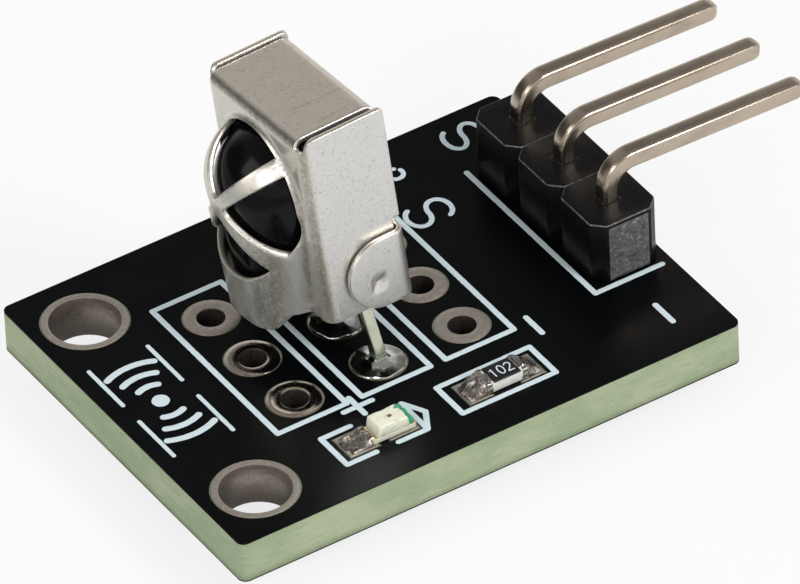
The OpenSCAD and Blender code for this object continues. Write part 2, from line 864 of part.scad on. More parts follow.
module lamp_terminals() {
  l = (lamp_len - lens_len) / 2 - lens_end_gap;
  color([0.78, 0.72, 0.55])
    for (s = [-1, 1]) translate([lamp_x, chip_y, board_t])
      mirror([s < 0 ? 1 : 0, 0, 0]) rotate([90, 0, 0])
        linear_extrude(lamp_w, center = true) difference() {
          translate([lamp_len / 2 - l, 0])
            square([l, lamp_base_h + cap_t]);
          translate([lamp_len / 2 - l - lap, cap_t])
            square([l + lap - cap_t, lamp_base_h - cap_t]);
        }
}

module lamp_solder() {
  color([0.72, 0.72, 0.72])
    chip_solder(lamp_x, lamp_len, lamp_pad_x, lamp_span, lamp_base_h, [-1]);
}

pcb_laminate();
solder_mask_top();
solder_mask_bottom();
silkscreen_top();
mounting_hole_plating();
lead_hole_plating();
header_hole_plating();
resistor_pads();
lamp_pads();
header_housing();
header_pin_1();
header_pin_2();
header_pin_3();
header_solder();
receiver_shield();
receiver_body();
receiver_lead_1();
receiver_lead_2();
receiver_lead_3();
receiver_solder();
resistor_ceramic();
resistor_coat();
resistor_end_caps();
resistor_solder();
lamp_base();
lamp_lens();
lamp_terminals();
lamp_solder();
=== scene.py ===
import math
from types import SimpleNamespace

import bmesh
import bpy
import numpy as np
from bpy.props import FloatProperty, FloatVectorProperty, PointerProperty
from mathutils import Matrix, Vector, noise
from mathutils.bvhtree import BVHTree
from mathutils.geometry import delaunay_2d_cdt


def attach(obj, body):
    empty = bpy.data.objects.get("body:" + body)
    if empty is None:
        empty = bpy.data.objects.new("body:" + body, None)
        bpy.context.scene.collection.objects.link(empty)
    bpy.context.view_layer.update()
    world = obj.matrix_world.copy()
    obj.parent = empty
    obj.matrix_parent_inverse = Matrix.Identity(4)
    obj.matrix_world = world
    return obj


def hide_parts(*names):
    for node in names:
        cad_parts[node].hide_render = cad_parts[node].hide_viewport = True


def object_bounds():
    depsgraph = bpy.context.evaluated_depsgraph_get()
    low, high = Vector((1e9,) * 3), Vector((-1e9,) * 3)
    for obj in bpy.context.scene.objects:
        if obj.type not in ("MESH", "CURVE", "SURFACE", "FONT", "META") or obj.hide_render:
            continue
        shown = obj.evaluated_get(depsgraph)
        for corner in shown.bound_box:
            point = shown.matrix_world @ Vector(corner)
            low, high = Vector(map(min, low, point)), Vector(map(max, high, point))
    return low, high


bl_info = {
    "name": "Infrared receiver module",
    "version": (1, 0, 0),
    "blender": (4, 5, 0),
    "location": "View3D > Sidebar > Receiver",
    "description": "Dresses the packed frame of a small infrared receiver board",
    "category": "Add Mesh",
}

MM = 0.001
QUARTER = math.pi / 2
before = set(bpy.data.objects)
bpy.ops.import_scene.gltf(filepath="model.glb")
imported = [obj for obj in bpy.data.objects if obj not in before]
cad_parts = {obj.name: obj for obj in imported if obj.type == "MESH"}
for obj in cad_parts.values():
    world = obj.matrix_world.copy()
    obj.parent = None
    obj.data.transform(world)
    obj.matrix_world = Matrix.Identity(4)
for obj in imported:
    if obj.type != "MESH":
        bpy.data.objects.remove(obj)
cad_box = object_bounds()


def length(name, text, millimetres):
    """A length property, given in millimetres and kept in metres."""
    return FloatProperty(name=name, description=text, default=millimetres * MM,
                         unit="LENGTH", subtype="DISTANCE", precision=5)


def tilt(name, text, degrees):
    """An angle property, given in degrees."""
    return FloatProperty(name=name, description=text,
                         default=math.radians(degrees),
                         unit="ROTATION", subtype="ANGLE")


def share(name, text, value):
    """A plain number between 0 and 1."""
    return FloatProperty(name=name, description=text, default=value,
                         min=0.0, max=1.0, subtype="FACTOR")


def linear(value):
    """A display value between 0 and 1 as scene-linear light."""
    return value / 12.92 if value <= 0.04045 else ((value + 0.055) / 1.055) ** 2.4


def paint(name, text, red, green, blue):
    """A colour property, given as display values between 0 and 1."""
    return FloatVectorProperty(name=name, description=text, size=3,
                               subtype="COLOR", min=0.0, max=1.0,
                               default=[linear(c) for c in (red, green, blue)])


class BoardSettings(bpy.types.PropertyGroup):
    """Sizes and colours of the board, its holes and its print."""
    thickness: length("Thickness", "Thickness of the finished board", 1.6)
    film: length("Film", "Thickness of the copper and mask films", 0.05)
    mount_span: length("Hole span", "Distance between the mounting holes", 10.4)
    mount_hole: length("Mounting hole", "Clear diameter of a mounting hole", 2.4)
    mount_ring: length("Ring", "Width of the tinned ring round it", 0.25)
    plating: length("Plating", "Thickness of the plating in the holes", 0.05)
    pitch: length("Pitch", "Pitch of the leads and of the pins", 2.54)
    column_x: length("First column", "First column of lead holes", 3.45)
    column_pitch: length("Column pitch", "Pitch of the lead columns", 3.235)
    row_y: length("Middle row", "Middle lead row across the board", 0.42)
    lead_hole: length("Lead hole", "Clear diameter of a lead hole", 0.95)
    lead_pad: length("Lead pad", "Diameter of a lead hole's pad", 1.85)
    pin_hole: length("Pin hole", "Clear diameter of a header hole", 1.05)
    pin_pad: length("Pin pad", "Diameter of a header hole's pad", 1.7)
    print_w: length("Line width", "Width of the printed lines", 0.2)
    letter_w: length("Letter width", "Stroke width of the letters", 0.18)
    print_t: length("Ink", "Thickness of the printed ink", 0.02)
    edge_colour: paint("Edge", "Sawn edge of the laminate", 0.60, 0.66, 0.53)
    fibre_colour: paint("Fibre", "Glass fibres in the edge", 0.70, 0.73, 0.61)
    resin_colour: paint("Resin", "Resin between the fibres", 0.50, 0.56, 0.43)
    mask_colour: paint("Mask", "Solder mask", 0.02, 0.024, 0.03)
    print_colour: paint("Ink colour", "Printed lines", 0.84, 0.90, 0.92)
    tin_colour: paint("Tin", "Tinned copper", 0.72, 0.68, 0.64)


class HeaderSettings(bpy.types.PropertyGroup):
    """Sizes and colours of the pin header."""
    place_x: length("Place along", "Pin row, from the mounting holes", 15.89)
    place_y: length("Place across", "Middle pin across the board", 0.73)
    depth: length("Depth", "Depth of the housing", 2.54)
    height: length("Height", "Height of the housing", 2.33)
    cut: length("Corner cut", "Corner cut of each unit", 0.42)
    pin_w: length("Pin width", "Width of a square pin", 0.64)
    pin_edge: length("Pin edge", "Corner radius of a pin", 0.17)
    pin_tip: length("Pin tip", "Length of the taper at a pin's end", 0.3)
    pin_tip_in: length("Tip taper", "How far a side tapers in", 0.13)
    bend_r: length("Bend", "Bend radius at the pin's centre line", 0.92)
    rise: length("Rise", "Height of the bent pins over the board", 3.65)
    reach: length("Reach", "From the upright part to the tip", 7.61)
    droop: tilt("Droop", "Angle by which the pins point down", 1.5)
    tail: length("Tail", "How far leads and pins stand out below", 1.0)
    housing_colour: paint("Housing", "Moulded housing", 0.05, 0.05, 0.055)
    pin_colour: paint("Pins", "Plated pins", 0.78, 0.72, 0.65)
    solder_colour: paint("Solder", "Solder joints", 0.80, 0.78, 0.75)


class ShieldSettings(bpy.types.PropertyGroup):
    """Sizes and colours of the receiver's folded shield."""
    place_x: length("Place along", "Can's foot, along the board", 6.6)
    place_y: length("Place across", "Can's foot, across the board", 0.98)
    place_z: length("Height of foot", "Can's foot over the underside", 3.52)
    lean: tilt("Lean", "Sideways lean", -5.6)
    nod: tilt("Nod", "Forward lean", -2.8)
    depth: length("Depth", "Depth of the can", 3.16)
    width: length("Width", "Width of the can", 6.0)
    height: length("Height", "Height of the top panel", 7.15)
    sheet: length("Sheet", "Thickness of the sheet", 0.2)
    lip: length("Lip", "Rounding of the sheet's edges", 0.045)
    fold_gap: length("Fold gap", "Gap where two folded panels meet", 0.07)
    bend_r: length("Upright bend", "Outer radius of the upright bends", 0.5)
    cap_bend_r: length("Top bend", "Outer radius of the top bends", 0.4)
    seam: length("Seam", "Open seam beside the top panel", 0.33)
    side_rise: length("Side rise", "Side panels above the top panel", 0.1)
    dome_z: length("Dome height", "Height of the dome's centre", 4.2)
    dome_r: length("Dome radius", "Outer radius of the dome", 2.46)
    dome_inset: length("Dome inset", "Dome's centre behind the front", 0.58)
    window_r: length("Window radius", "Half width of the dome's window", 2.32)
    window_top: length("Window top", "Height of the window above its middle", 2.4)
    window_foot: length("Window foot", "Depth of the window below its middle", 2.72)
    cap_shift: length("Top shift", "Top panel's left edge beyond its right", 0.25)
    strap_w: length("Strap", "Width of the crossed straps", 0.43)
    window_corner: length("Window corner", "Corner radius of openings", 0.28)
    chin_out: length("Chin", "How far the chin stands out", 1.5)
    chin_flat: length("Chin width", "Half width of the chin's foot", 1.3)
    tongue_drop: length("Tongue drop", "Tongue below the can", 0.3)
    tongue_w: length("Tongue", "Half width of the tongue", 1.5)
    ear_h: length("Ear height", "Height of the clasping ears", 2.6)
    ear_reach: length("Ear reach", "Reach of an ear from the back", 2.33)
    ear_bend: length("Ear bend", "Inner bend radius of an ear", 0.12)
    ear_notch: length("Ear notch", "Height of the notch above", 0.35)
    dimple_w: length("Dimple", "Width of the pressed dimple", 0.56)
    dimple_depth: length("Dimple depth", "Depth of the dimple", 0.14)
    metal_colour: paint("Metal", "Nickel-plated sheet", 0.88, 0.855, 0.815)
    speck_colour: paint("Specks", "Dull specks in the plating", 0.50, 0.46, 0.40)


class ReceiverSettings(bpy.types.PropertyGroup):
    """Sizes and colours of the moulded body and its leads."""
    body_gap: length("Play", "Play between body and can", 0.05)
    body_foot: length("Foot", "Body's foot inside the can", 0.15)
    lens_gap: length("Lens gap", "Gap between lens and dome", 0.15)
    lead_w: length("Lead width", "Width of a lead", 0.5)
    lead_t: length("Lead thickness", "Thickness of a lead", 0.4)
    lead_root: length("Root", "Depth of a lead in the body", 1.5)
    root_pitch: length("Root pitch", "Pitch of the leads' roots", 2.4)
    knee: length("Knee", "Height at which a lead slants", 0.4)
    body_colour: paint("Body", "Moulded resin", 0.035, 0.035, 0.04)
    lead_colour: paint("Leads", "Plated leads", 0.80, 0.82, 0.74)


class ChipSettings(bpy.types.PropertyGroup):
    """Sizes and colours of the resistor and the lamp."""
    pad_y: length("Pads across", "Middle of the chips' pads", -5.14)
    chip_y: length("Chips across", "Middle of the chips", -5.23)
    pad_w: length("Pad width", "Width of a chip's pad", 1.12)
    resistor_pad_x: length("Resistor pads", "Middle of its pads", 9.38)
    resistor_x: length("Resistor", "Middle of the resistor", 9.42)
    resistor_gap: length("Resistor gap", "Gap between its pads", 1.1)
    resistor_pad: length("Resistor pad", "Length of a pad", 0.9)
    resistor_len: length("Resistor length", "Length", 1.6)
    resistor_w: length("Resistor width", "Width", 0.85)
    resistor_h: length("Resistor height", "Height", 0.45)
    cap_len: length("End cap", "Length of a metal end cap", 0.22)
    coat_len: length("Coat", "Length of the dark coat", 1.05)
    lamp_pad_x: length("Lamp pads", "Middle of its pads", 4.66)
    lamp_x: length("Lamp", "Middle of the lamp", 5.06)
    lamp_gap: length("Lamp gap", "Gap between its pads", 0.4)
    lamp_pad: length("Lamp pad", "Length of a pad", 1.12)
    lamp_len: length("Lamp length", "Length of the base", 1.7)
    lamp_w: length("Lamp width", "Width of the base", 0.8)
    base_h: length("Base", "Thickness of the base", 0.2)
    lens_len: length("Block length", "Length of the clear block", 1.22)
    lens_h: length("Block height", "Height of the clear block", 0.4)
    lens_slope: length("Block slope", "Slope of the block's ends", 0.08)
    ceramic_colour: paint("Ceramic", "Resistor body", 0.90, 0.90, 0.87)
    coat_colour: paint("Coat", "Resistor coat", 0.10, 0.10, 0.105)
    cap_colour: paint("End caps", "Tinned end caps", 0.80, 0.78, 0.74)
    lamp_colour: paint("Lamp resin", "Milky resin", 0.93, 0.93, 0.84)
    lamp_base_colour: paint("Lamp base", "Lamp's base", 0.87, 0.87, 0.80)
    mark_colour: paint("Green marks", "Green marks of the lamp", 0.18, 0.62, 0.45)
    terminal_colour: paint("Terminals", "Lamp's end metal", 0.80, 0.74, 0.56)


class StageSettings(bpy.types.PropertyGroup):
    """Camera, lamps and floor."""
    focal: FloatProperty(name="Focal length", default=641.4, unit="CAMERA",
                         description="Focal length for a 36 mm wide sensor")
    floor_colour: paint("Floor", "Pale floor", 0.95, 0.95, 0.95)
    ambient: share("Ambient", "Strength of the even light", 0.5)
    key: FloatProperty(name="Key", default=1.2, min=0.0, unit="POWER",
                       description="Power of the lamp at the right")
    fill: FloatProperty(name="Fill", default=0.4, min=0.0, unit="POWER",
                        description="Power of the lamp at the left")
    spark: FloatProperty(name="Spark", default=0.40, min=0.0, unit="POWER",
                         description="Power of the small lamp left of the camera")


class ModuleSettings(bpy.types.PropertyGroup):
    """All settings of the module."""
    board: PointerProperty(type=BoardSettings)
    header: PointerProperty(type=HeaderSettings)
    shield: PointerProperty(type=ShieldSettings)
    receiver: PointerProperty(type=ReceiverSettings)
    chips: PointerProperty(type=ChipSettings)
    stage: PointerProperty(type=StageSettings)


def values(group):
    """A group's values, with its lengths in millimetres."""
    found = {}
    for prop in group.bl_rna.properties:
        if prop.identifier in ("rna_type", "name"):
            continue
        value = getattr(group, prop.identifier)
        in_metres = getattr(prop, "unit", "NONE") == "LENGTH"
        found[prop.identifier] = value / MM if in_metres else value
    return SimpleNamespace(**found)


# ---- outlines in the plane ----

def arc(x, y, radius, start, end, count=12, flat=1.0):
    """Points on an arc, angles in degrees; flat squeezes it along Y."""
    turn = np.radians(np.linspace(start, end, count + 1))
    return [(x + radius * math.cos(a), y + flat * radius * math.sin(a)) for a in turn]


def rounded(points, radius, count=5):
    """A closed outline with its corners rounded. A point may bring its own
    radius as a third value."""
    out = []
    total = len(points)
    for i, point in enumerate(points):
        here = Vector(point[:2])
        back = Vector(points[i - 1][:2]) - here
        ahead = Vector(points[(i + 1) % total][:2]) - here
        r = point[2] if len(point) > 2 else radius
        reach = min(r, 0.49 * back.length, 0.49 * ahead.length)
        if reach < 1e-4:
            out.append(tuple(here))
            continue
        first = here + back.normalized() * reach
        last = here + ahead.normalized() * reach
        for step in range(count + 1):
            t = step / count
            spot = first * (1 - t) ** 2 + here * 2 * t * (1 - t) + last * t ** 2
            out.append(tuple(spot))
    return out


def box_outline(x0, y0, x1, y1, radius=0.0):
    return rounded([(x0, y0), (x1, y0), (x1, y1), (x0, y1)], radius)


def signed_area(loop):
    a = np.array(loop)
    b = np.roll(a, -1, axis=0)
    return 0.5 * float(np.sum(a[:, 0] * b[:, 1] - b[:, 0] * a[:, 1]))


def turned(loop, hole=False):
    """The loop anticlockwise, or clockwise for a hole."""
    return loop[::-1] if (signed_area(loop) < 0) != hole else loop


def divided(loop, step):
    """A closed loop with no edge longer than step and no doubled point."""
    out = []
    for i, start in enumerate(loop):
        a, b = np.array(start), np.array(loop[(i + 1) % len(loop)])
        gap = float(np.linalg.norm(b - a))
        if gap < 1e-5:
            continue
        count = max(1, math.ceil(gap / step))
        out += [tuple(a + (b - a) * k / count) for k in range(count)]
    return out


def winding(points, loops):
    """How often the loops go round each point."""
    found = np.zeros(len(points), int)
    x, y = points[:, 0], points[:, 1]
    for loop in loops:
        for (x0, y0), (x1, y1) in zip(loop, loop[1:] + loop[:1]):
            side = (x1 - x0) * (y - y0) - (x - x0) * (y1 - y0)
            found += (y0 <= y) & (y1 > y) & (side > 0)
            found -= (y0 > y) & (y1 <= y) & (side < 0)
    return found


def rim_distance(points, loops):
    """Distance from each point to the nearest edge of the loops."""
    found = np.full(len(points), 1e9)
    for loop in loops:
        for start, end in zip(loop, loop[1:] + loop[:1]):
            a, run = np.array(start), np.array(end) - np.array(start)
            t = np.clip(((points - a) @ run) / (run @ run), 0, 1)
            gap = np.linalg.norm(points - a - t[:, None] * run, axis=1)
            found = np.minimum(found, gap)
    return found


def stroke(points, width, round_ends=True):
    """Outline of a line of even width with rounded ends."""
    pts = [Vector(p) for p in points]
    half = width / 2
    left, right = [], []
    for i, here in enumerate(pts):
        run = (pts[min(i + 1, len(pts) - 1)] - pts[max(i - 1, 0)]).normalized()
        across = Vector((-run.y, run.x)) * half
        left.append(tuple(here + across))
        right.append(tuple(here - across))
    if not round_ends:
        return turned(right + left[::-1])
    first = math.degrees(math.atan2(*(pts[0] - pts[1]).yx))
    last = math.degrees(math.atan2(*(pts[-1] - pts[-2]).yx))
    tail = arc(*pts[-1], half, last - 90, last + 90, 8)
    head = arc(*pts[0], half, first - 90, first + 90, 8)
    return turned(right[1:-1] + tail + left[1:-1][::-1] + head)


# ---- solids ----

def sheet_solid(loops, surface, thickness, lip, step, rim_step=None):
    """A sheet cut to the loops, with rounded edges, and laid on a surface.

    surface(u, v, depth) gives the places in space for arrays of plane places
    and of depths under the sheet's outer face. Holes run clockwise.
    """
    loops = [divided(loop, rim_step or step) for loop in loops]
    rings = []
    for loop in loops:
        a = np.array(loop)
        run = np.roll(a, -1, axis=0) - np.roll(a, 1, axis=0)
        run /= np.maximum(np.linalg.norm(run, axis=1), 1e-9)[:, None]
        inward = np.stack([-run[:, 1], run[:, 0]], axis=1)
        rings += [(a + inward * lip * part, lip * part) for part in (0.3, 0.65, 1.0)]
    flat = np.concatenate([np.array(loop) for loop in loops])
    low, high = flat.min(axis=0), flat.max(axis=0)
    grid = np.stack(np.meshgrid(np.arange(low[0], high[0], step),
                                np.arange(low[1], high[1], step)), -1).reshape(-1, 2)
    extra = []
    for spots, need in rings + [(grid, lip + 0.45 * step)]:
        keep = winding(spots, loops) != 0
        keep[keep] = rim_distance(spots[keep], loops) > 0.93 * need
        extra.append(spots[keep])
    points, triangles = filled(loops, np.concatenate(extra))
    gap = np.minimum(rim_distance(points, loops), lip)
    sink = lip - np.sqrt(np.maximum(lip ** 2 - (lip - gap) ** 2, 0))
    outer = surface(points[:, 0], points[:, 1], sink)
    inner = surface(points[:, 0], points[:, 1], thickness - sink)
    return closed_shell(outer, inner, triangles)


def filled(loops, extra):
    """Triangles that fill the loops, through the extra points."""
    coords, edges = [], []
    for loop in loops:
        start = len(coords)
        coords += [Vector(p) for p in loop]
        edges += [(start + i, start + (i + 1) % len(loop)) for i in range(len(loop))]
    coords += [Vector(p) for p in extra]
    verts, _, faces = delaunay_2d_cdt(coords, edges, [], 0, 1e-6)[:3]
    points = np.array([tuple(v) for v in verts])
    triangles = np.array([f for f in faces if len(f) == 3])
    keep = winding(points[triangles].mean(axis=1), loops) != 0
    return points, triangles[keep]


def closed_shell(outer, inner, triangles):
    """Two faces of a sheet joined round their rims."""
    count = len(outer)
    faces = [tuple(t) for t in triangles] + [tuple(t[::-1] + count) for t in triangles]
    used = {}
    for a, b, c in triangles:
        for edge in ((a, b), (b, c), (c, a)):
            used[edge] = used.get(edge, 0) + 1
    for a, b in used:
        if (b, a) not in used:
            faces.append((b, a, a + count, b + count))
    return np.concatenate([outer, inner]), faces


def slab(loops, top, thickness, lip, step=0.3, rim_step=0.06, matrix=None):
    """A flat plate with rounded edges, its top face at height top."""
    def flat(u, v, depth):
        return np.stack([u, v, top - depth], axis=1)
    solid = sheet_solid(loops, flat, thickness, lip, step, rim_step)
    return moved(solid, matrix) if matrix is not None else solid


def moved(solid, matrix):
    """A solid's vertices taken through a matrix."""
    m = np.array(matrix)
    verts = np.array(solid[0]) @ m[:3, :3].T + m[:3, 3]
    return verts, solid[1]


def joined(solids):
    """Several solids as one."""
    verts, faces, start = [], [], 0
    for v, f in solids:
        verts.append(np.array(v))
        faces += [tuple(i + start for i in face) for face in f]
        start += len(v)
    return np.concatenate(verts), faces


def turned_solid(profile, place, count=64, ripple=0.0, seed=0.0):
    """A ring turned about Z from a closed (radius, height) profile. Ripple
    makes it a little uneven round the turn."""
    verts, faces = [], []
    size = len(profile)
    for i in range(count):
        a = 2 * math.pi * i / count
        c, s = math.cos(a), math.sin(a)
        for r, z in profile:
            bump = ripple * noise.noise(Vector((2 * c, 2 * s, seed + z)))
            k = 1 + bump * min(1.0, r / 0.4)
            verts.append((place[0] + r * k * c, place[1] + r * k * s, place[2] + z))
    for i in range(count):
        for j in range(size):
            a, b = i * size, ((i + 1) % count) * size
            k = (j + 1) % size
            faces.append((a + j, b + j, b + k, a + k))
    return np.array(verts), faces


def swept(stations, section):
    """A bar through stations of (centre, across, up, scale)."""
    verts, faces = [], []
    size = len(section)
    for centre, across, up, scale in stations:
        verts += [tuple(centre + across * (p * scale) + up * (q * scale))
                  for p, q in section]
    for i in range(len(stations) - 1):
        for j in range(size):
            a, b = i * size + j, i * size + (j + 1) % size
            faces.append((a, b, b + size, a + size))
    faces.append(tuple(range(size))[::-1])
    faces.append(tuple(range(len(verts) - size, len(verts))))
    return np.array(verts), faces


def ball_and_foot(radius, centre, foot, foot_z):
    """Taut skin over the upper half of a ball and a flat foot under it."""
    mesh = bmesh.new()
    for i in range(33):
        rise = QUARTER * i / 32
        ring = radius * math.cos(rise)
        for a in np.linspace(0, 2 * math.pi, 128, endpoint=False):
            mesh.verts.new((centre[0] + ring * math.cos(a),
                            centre[1] + ring * math.sin(a),
                            centre[2] + radius * math.sin(rise)))
    for x, y in foot:
        mesh.verts.new((x, y, foot_z))
    bmesh.ops.remove_doubles(mesh, verts=mesh.verts, dist=1e-5)
    result = bmesh.ops.convex_hull(mesh, input=mesh.verts)
    bmesh.ops.delete(mesh, geom=[g for g in result["geom_interior"]
                                 if isinstance(g, bmesh.types.BMVert)], context="VERTS")
    return mesh


def roughened(solid, amount, size, seed=0.0):
    """A solid with its vertices pushed about by a soft noise."""
    verts = []
    for v in solid[0]:
        p = Vector(v) / size + Vector((seed, seed * 0.7, -seed))
        verts.append(Vector(v) + noise.noise_vector(p) * amount)
    return np.array([tuple(v) for v in verts]), solid[1]


def add_piece(name, solid, material, replaced=(), sharp=40, more=(), zone=None):
    """Makes one piece of the module out of a solid in millimetres. Where more
    finishes are given, zone(centre, normal) picks one for each face."""
    verts, faces = solid
    mesh = bpy.data.meshes.new(name)
    mesh.from_pydata([tuple(v) for v in np.array(verts) * MM], [], faces)
    work = bmesh.new()
    work.from_mesh(mesh)
    bmesh.ops.remove_doubles(work, verts=work.verts, dist=1e-9)
    bmesh.ops.recalc_face_normals(work, faces=work.faces)
    work.to_mesh(mesh)
    work.free()
    for m in (material, *more):
        mesh.materials.append(m)
    mesh.shade_smooth()
    mesh.set_sharp_from_angle(angle=math.radians(sharp))
    if zone:
        for face in mesh.polygons:
            face.material_index = zone(face.center / MM, face.normal)
    piece = bpy.data.objects.new(name, mesh)
    bpy.context.scene.collection.objects.link(piece)
    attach(piece, "root")
    if replaced:
        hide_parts(*replaced)
    return piece


# ---- finishes ----

class Finish:
    """A procedural material. Sizes of its patterns are in millimetres."""

    def __init__(self, name, colour, roughness, metallic=0.0, level=0.5, coat=0.0):
        self.material = bpy.data.materials.new(name)
        self.material.use_nodes = True
        self.tree = self.material.node_tree
        self.shader = self.tree.nodes["Principled BSDF"]
        self.colour = (*colour, 1.0)
        self.set("Base Color", self.colour)
        self.set("Roughness", roughness)
        self.set("Metallic", metallic)
        self.set("Specular IOR Level", level)
        self.set("Coat Weight", coat)
        self.place = self.add("ShaderNodeTexCoord").outputs["Object"]
        self.last_colour = None
        self.last_bump = None

    def add(self, kind, **settings):
        node = self.tree.nodes.new(kind)
        for key, value in settings.items():
            setattr(node, key, value)
        return node

    def set(self, socket, value):
        self.shader.inputs[socket].default_value = value

    def link(self, a, b):
        self.tree.links.new(a, b)

    def noise(self, size, stretch=(1, 1, 1), detail=3.0, rough=0.5, shift=0.0):
        """Soft noise with features of about the given size."""
        scale = self.add("ShaderNodeMapping")
        scale.inputs["Scale"].default_value = [1 / (size * MM * s) for s in stretch]
        scale.inputs["Location"].default_value = (shift, shift * 1.7, -shift)
        field = self.add("ShaderNodeTexNoise")
        field.inputs["Scale"].default_value = 1.0
        field.inputs["Detail"].default_value = detail
        field.inputs["Roughness"].default_value = rough
        self.link(self.place, scale.inputs["Vector"])
        self.link(scale.outputs["Vector"], field.inputs["Vector"])
        return field.outputs["Fac"]

    def axis(self, index):
        """One coordinate of the surface's place, in metres."""
        split = self.add("ShaderNodeSeparateXYZ")
        self.link(self.place, split.inputs[0])
        return split.outputs[index]

    def ramp(self, source, low, high):
        """Source taken from 0 at low to 1 at high."""
        node = self.add("ShaderNodeMapRange", interpolation_type="SMOOTHSTEP")
        node.inputs["From Min"].default_value = low
        node.inputs["From Max"].default_value = high
        self.link(source, node.inputs["Value"])
        return node.outputs["Result"]

    def facing(self, way, low, high):
        """1 where the surface faces the given way, falling to 0."""
        node = self.add("ShaderNodeVectorMath", operation="DOT_PRODUCT")
        node.inputs[1].default_value = Vector(way).normalized()
        self.link(self.add("ShaderNodeNewGeometry").outputs["Normal"], node.inputs[0])
        return self.ramp(node.outputs["Value"], low, high)

    def scaled(self, source, factor):
        node = self.add("ShaderNodeMath", operation="MULTIPLY")
        node.inputs[1].default_value = factor
        self.link(source, node.inputs[0])
        return node.outputs[0]

    def times(self, a, b):
        node = self.add("ShaderNodeMath", operation="MULTIPLY")
        self.link(a, node.inputs[0])
        self.link(b, node.inputs[1])
        return node.outputs[0]

    def tint(self, factor, colour):
        """Lays a colour over the base where factor is high."""
        mix = self.add("ShaderNodeMix", data_type="RGBA")
        self.link(factor, mix.inputs["Factor"])
        if self.last_colour is None:
            mix.inputs[6].default_value = self.colour
        else:
            self.link(self.last_colour, mix.inputs[6])
        mix.inputs[7].default_value = (*colour, 1.0)
        self.last_colour = mix.outputs[2]
        self.link(self.last_colour, self.shader.inputs["Base Color"])
        return self

    def rough(self, factor, low, high):
        """Roughness from low to high with the factor."""
        node = self.add("ShaderNodeMapRange")
        node.inputs["To Min"].default_value = low
        node.inputs["To Max"].default_value = high
        self.link(factor, node.inputs["Value"])
        self.link(node.outputs["Result"], self.shader.inputs["Roughness"])
        return self

    def bump(self, height, depth, strength=1.0):
        """Relief of the given depth in millimetres."""
        node = self.add("ShaderNodeBump")
        node.inputs["Strength"].default_value = strength
        node.inputs["Distance"].default_value = depth * MM
        self.link(height, node.inputs["Height"])
        if self.last_bump is not None:
            self.link(self.last_bump, node.inputs["Normal"])
        self.last_bump = node.outputs["Normal"]
        self.link(self.last_bump, self.shader.inputs["Normal"])
        return self


def shade(colour, factor):
    """A colour made darker or lighter."""
    return tuple(min(1.0, c * factor) for c in colour)


def laminate_finish(board):
    f = Finish("board_laminate", board.edge_colour, 0.62, level=0.25)
    f.tint(f.scaled(f.ramp(f.noise(2.6, (1, 1, 0.5), 4, 0.6), 0.40, 0.66), 0.7),
           board.fibre_colour)
    f.tint(f.scaled(f.ramp(f.noise(0.5, (1.4, 1.4, 0.10), 4, 0.6, 5.0), 0.46, 0.72), 0.55),
           board.resin_colour)
    f.tint(f.scaled(f.ramp(f.noise(0.07, detail=2), 0.66, 0.74), 0.5),
           shade(board.fibre_colour, 1.3))
    # Painted shade: the sawn edge is darkened towards the board's underside.
    f.tint(f.scaled(f.ramp(f.axis(2), 0.30 * MM, 0.06 * MM), 0.5),
           shade(board.resin_colour, 0.6))
    f.bump(f.noise(0.16, (2, 2, 0.3), 4, 0.7), 0.04, 0.6)
    return f.material


def mask_finish(board):
    f = Finish("black_mask", board.mask_colour, 0.28, level=0.10)
    f.tint(f.scaled(f.ramp(f.noise(0.05, detail=1), 0.70, 0.74), 0.2),
           (0.05, 0.06, 0.07))
    f.rough(f.noise(1.5, detail=3), 0.20, 0.40)
    f.bump(f.noise(0.5, detail=3), 0.005, 0.5)
    return f.material


def ink_finish(board):
    f = Finish("white_print", board.print_colour, 0.55, level=0.25)
    f.tint(f.scaled(f.ramp(f.noise(0.22, detail=4, rough=0.7), 0.54, 0.74), 0.3),
           shade(board.print_colour, 0.66))
    f.bump(f.noise(0.08, detail=3), 0.01, 0.6)
    return f.material


def tin_finish(board):
    f = Finish("tinned_copper", board.tin_colour, 0.42, metallic=0.8)
    grain = f.noise(0.06, detail=4, rough=0.7)
    f.tint(f.scaled(f.ramp(grain, 0.50, 0.72), 0.55), shade(board.tin_colour, 0.5))
    f.tint(f.scaled(f.ramp(f.noise(0.16, detail=3), 0.52, 0.72), 0.5),
           shade(board.tin_colour, 1.5))
    f.rough(grain, 0.30, 0.58)
    f.bump(grain, 0.012, 0.8)
    return f.material


def bright_tin_finish(board):
    f = Finish("smooth_tin", shade(board.tin_colour, 1.2), 0.14, metallic=1.0)
    f.tint(f.scaled(f.ramp(f.noise(0.12, detail=3), 0.56, 0.72), 0.5),
           shade(board.tin_colour, 0.5))
    f.rough(f.noise(0.2, detail=3), 0.06, 0.26)
    f.bump(f.noise(0.25, detail=2), 0.010, 0.7)
    return f.material


# Painted shade: the walls of the lead and pin holes get a darker copy of the tin, browned in
# patches, for the shade inside them.
def hole_finish(board):
    f = Finish("hole_wall", shade(board.tin_colour, 0.42), 0.30, metallic=0.9)
    f.tint(f.scaled(f.ramp(f.noise(0.10, detail=3), 0.50, 0.72), 0.6),
           (0.035, 0.025, 0.018))
    f.bump(f.noise(0.12, detail=3), 0.02, 0.7)
    return f.material


def wide_hole_finish(board):
    f = Finish("wide_hole_wall", shade(board.tin_colour, 0.95), 0.30, metallic=0.9)
    f.tint(f.scaled(f.ramp(f.noise(0.12, detail=4, rough=0.7), 0.46, 0.70), 0.5),
           shade(board.tin_colour, 0.42))
    # Painted shade: the wall is darkened deeper down in the hole.
    f.tint(f.scaled(f.ramp(f.axis(2), 1.1 * MM, 0.2 * MM), 0.5),
           shade(board.tin_colour, 0.5))
    f.bump(f.noise(0.12, detail=3), 0.02, 0.7)
    return f.material


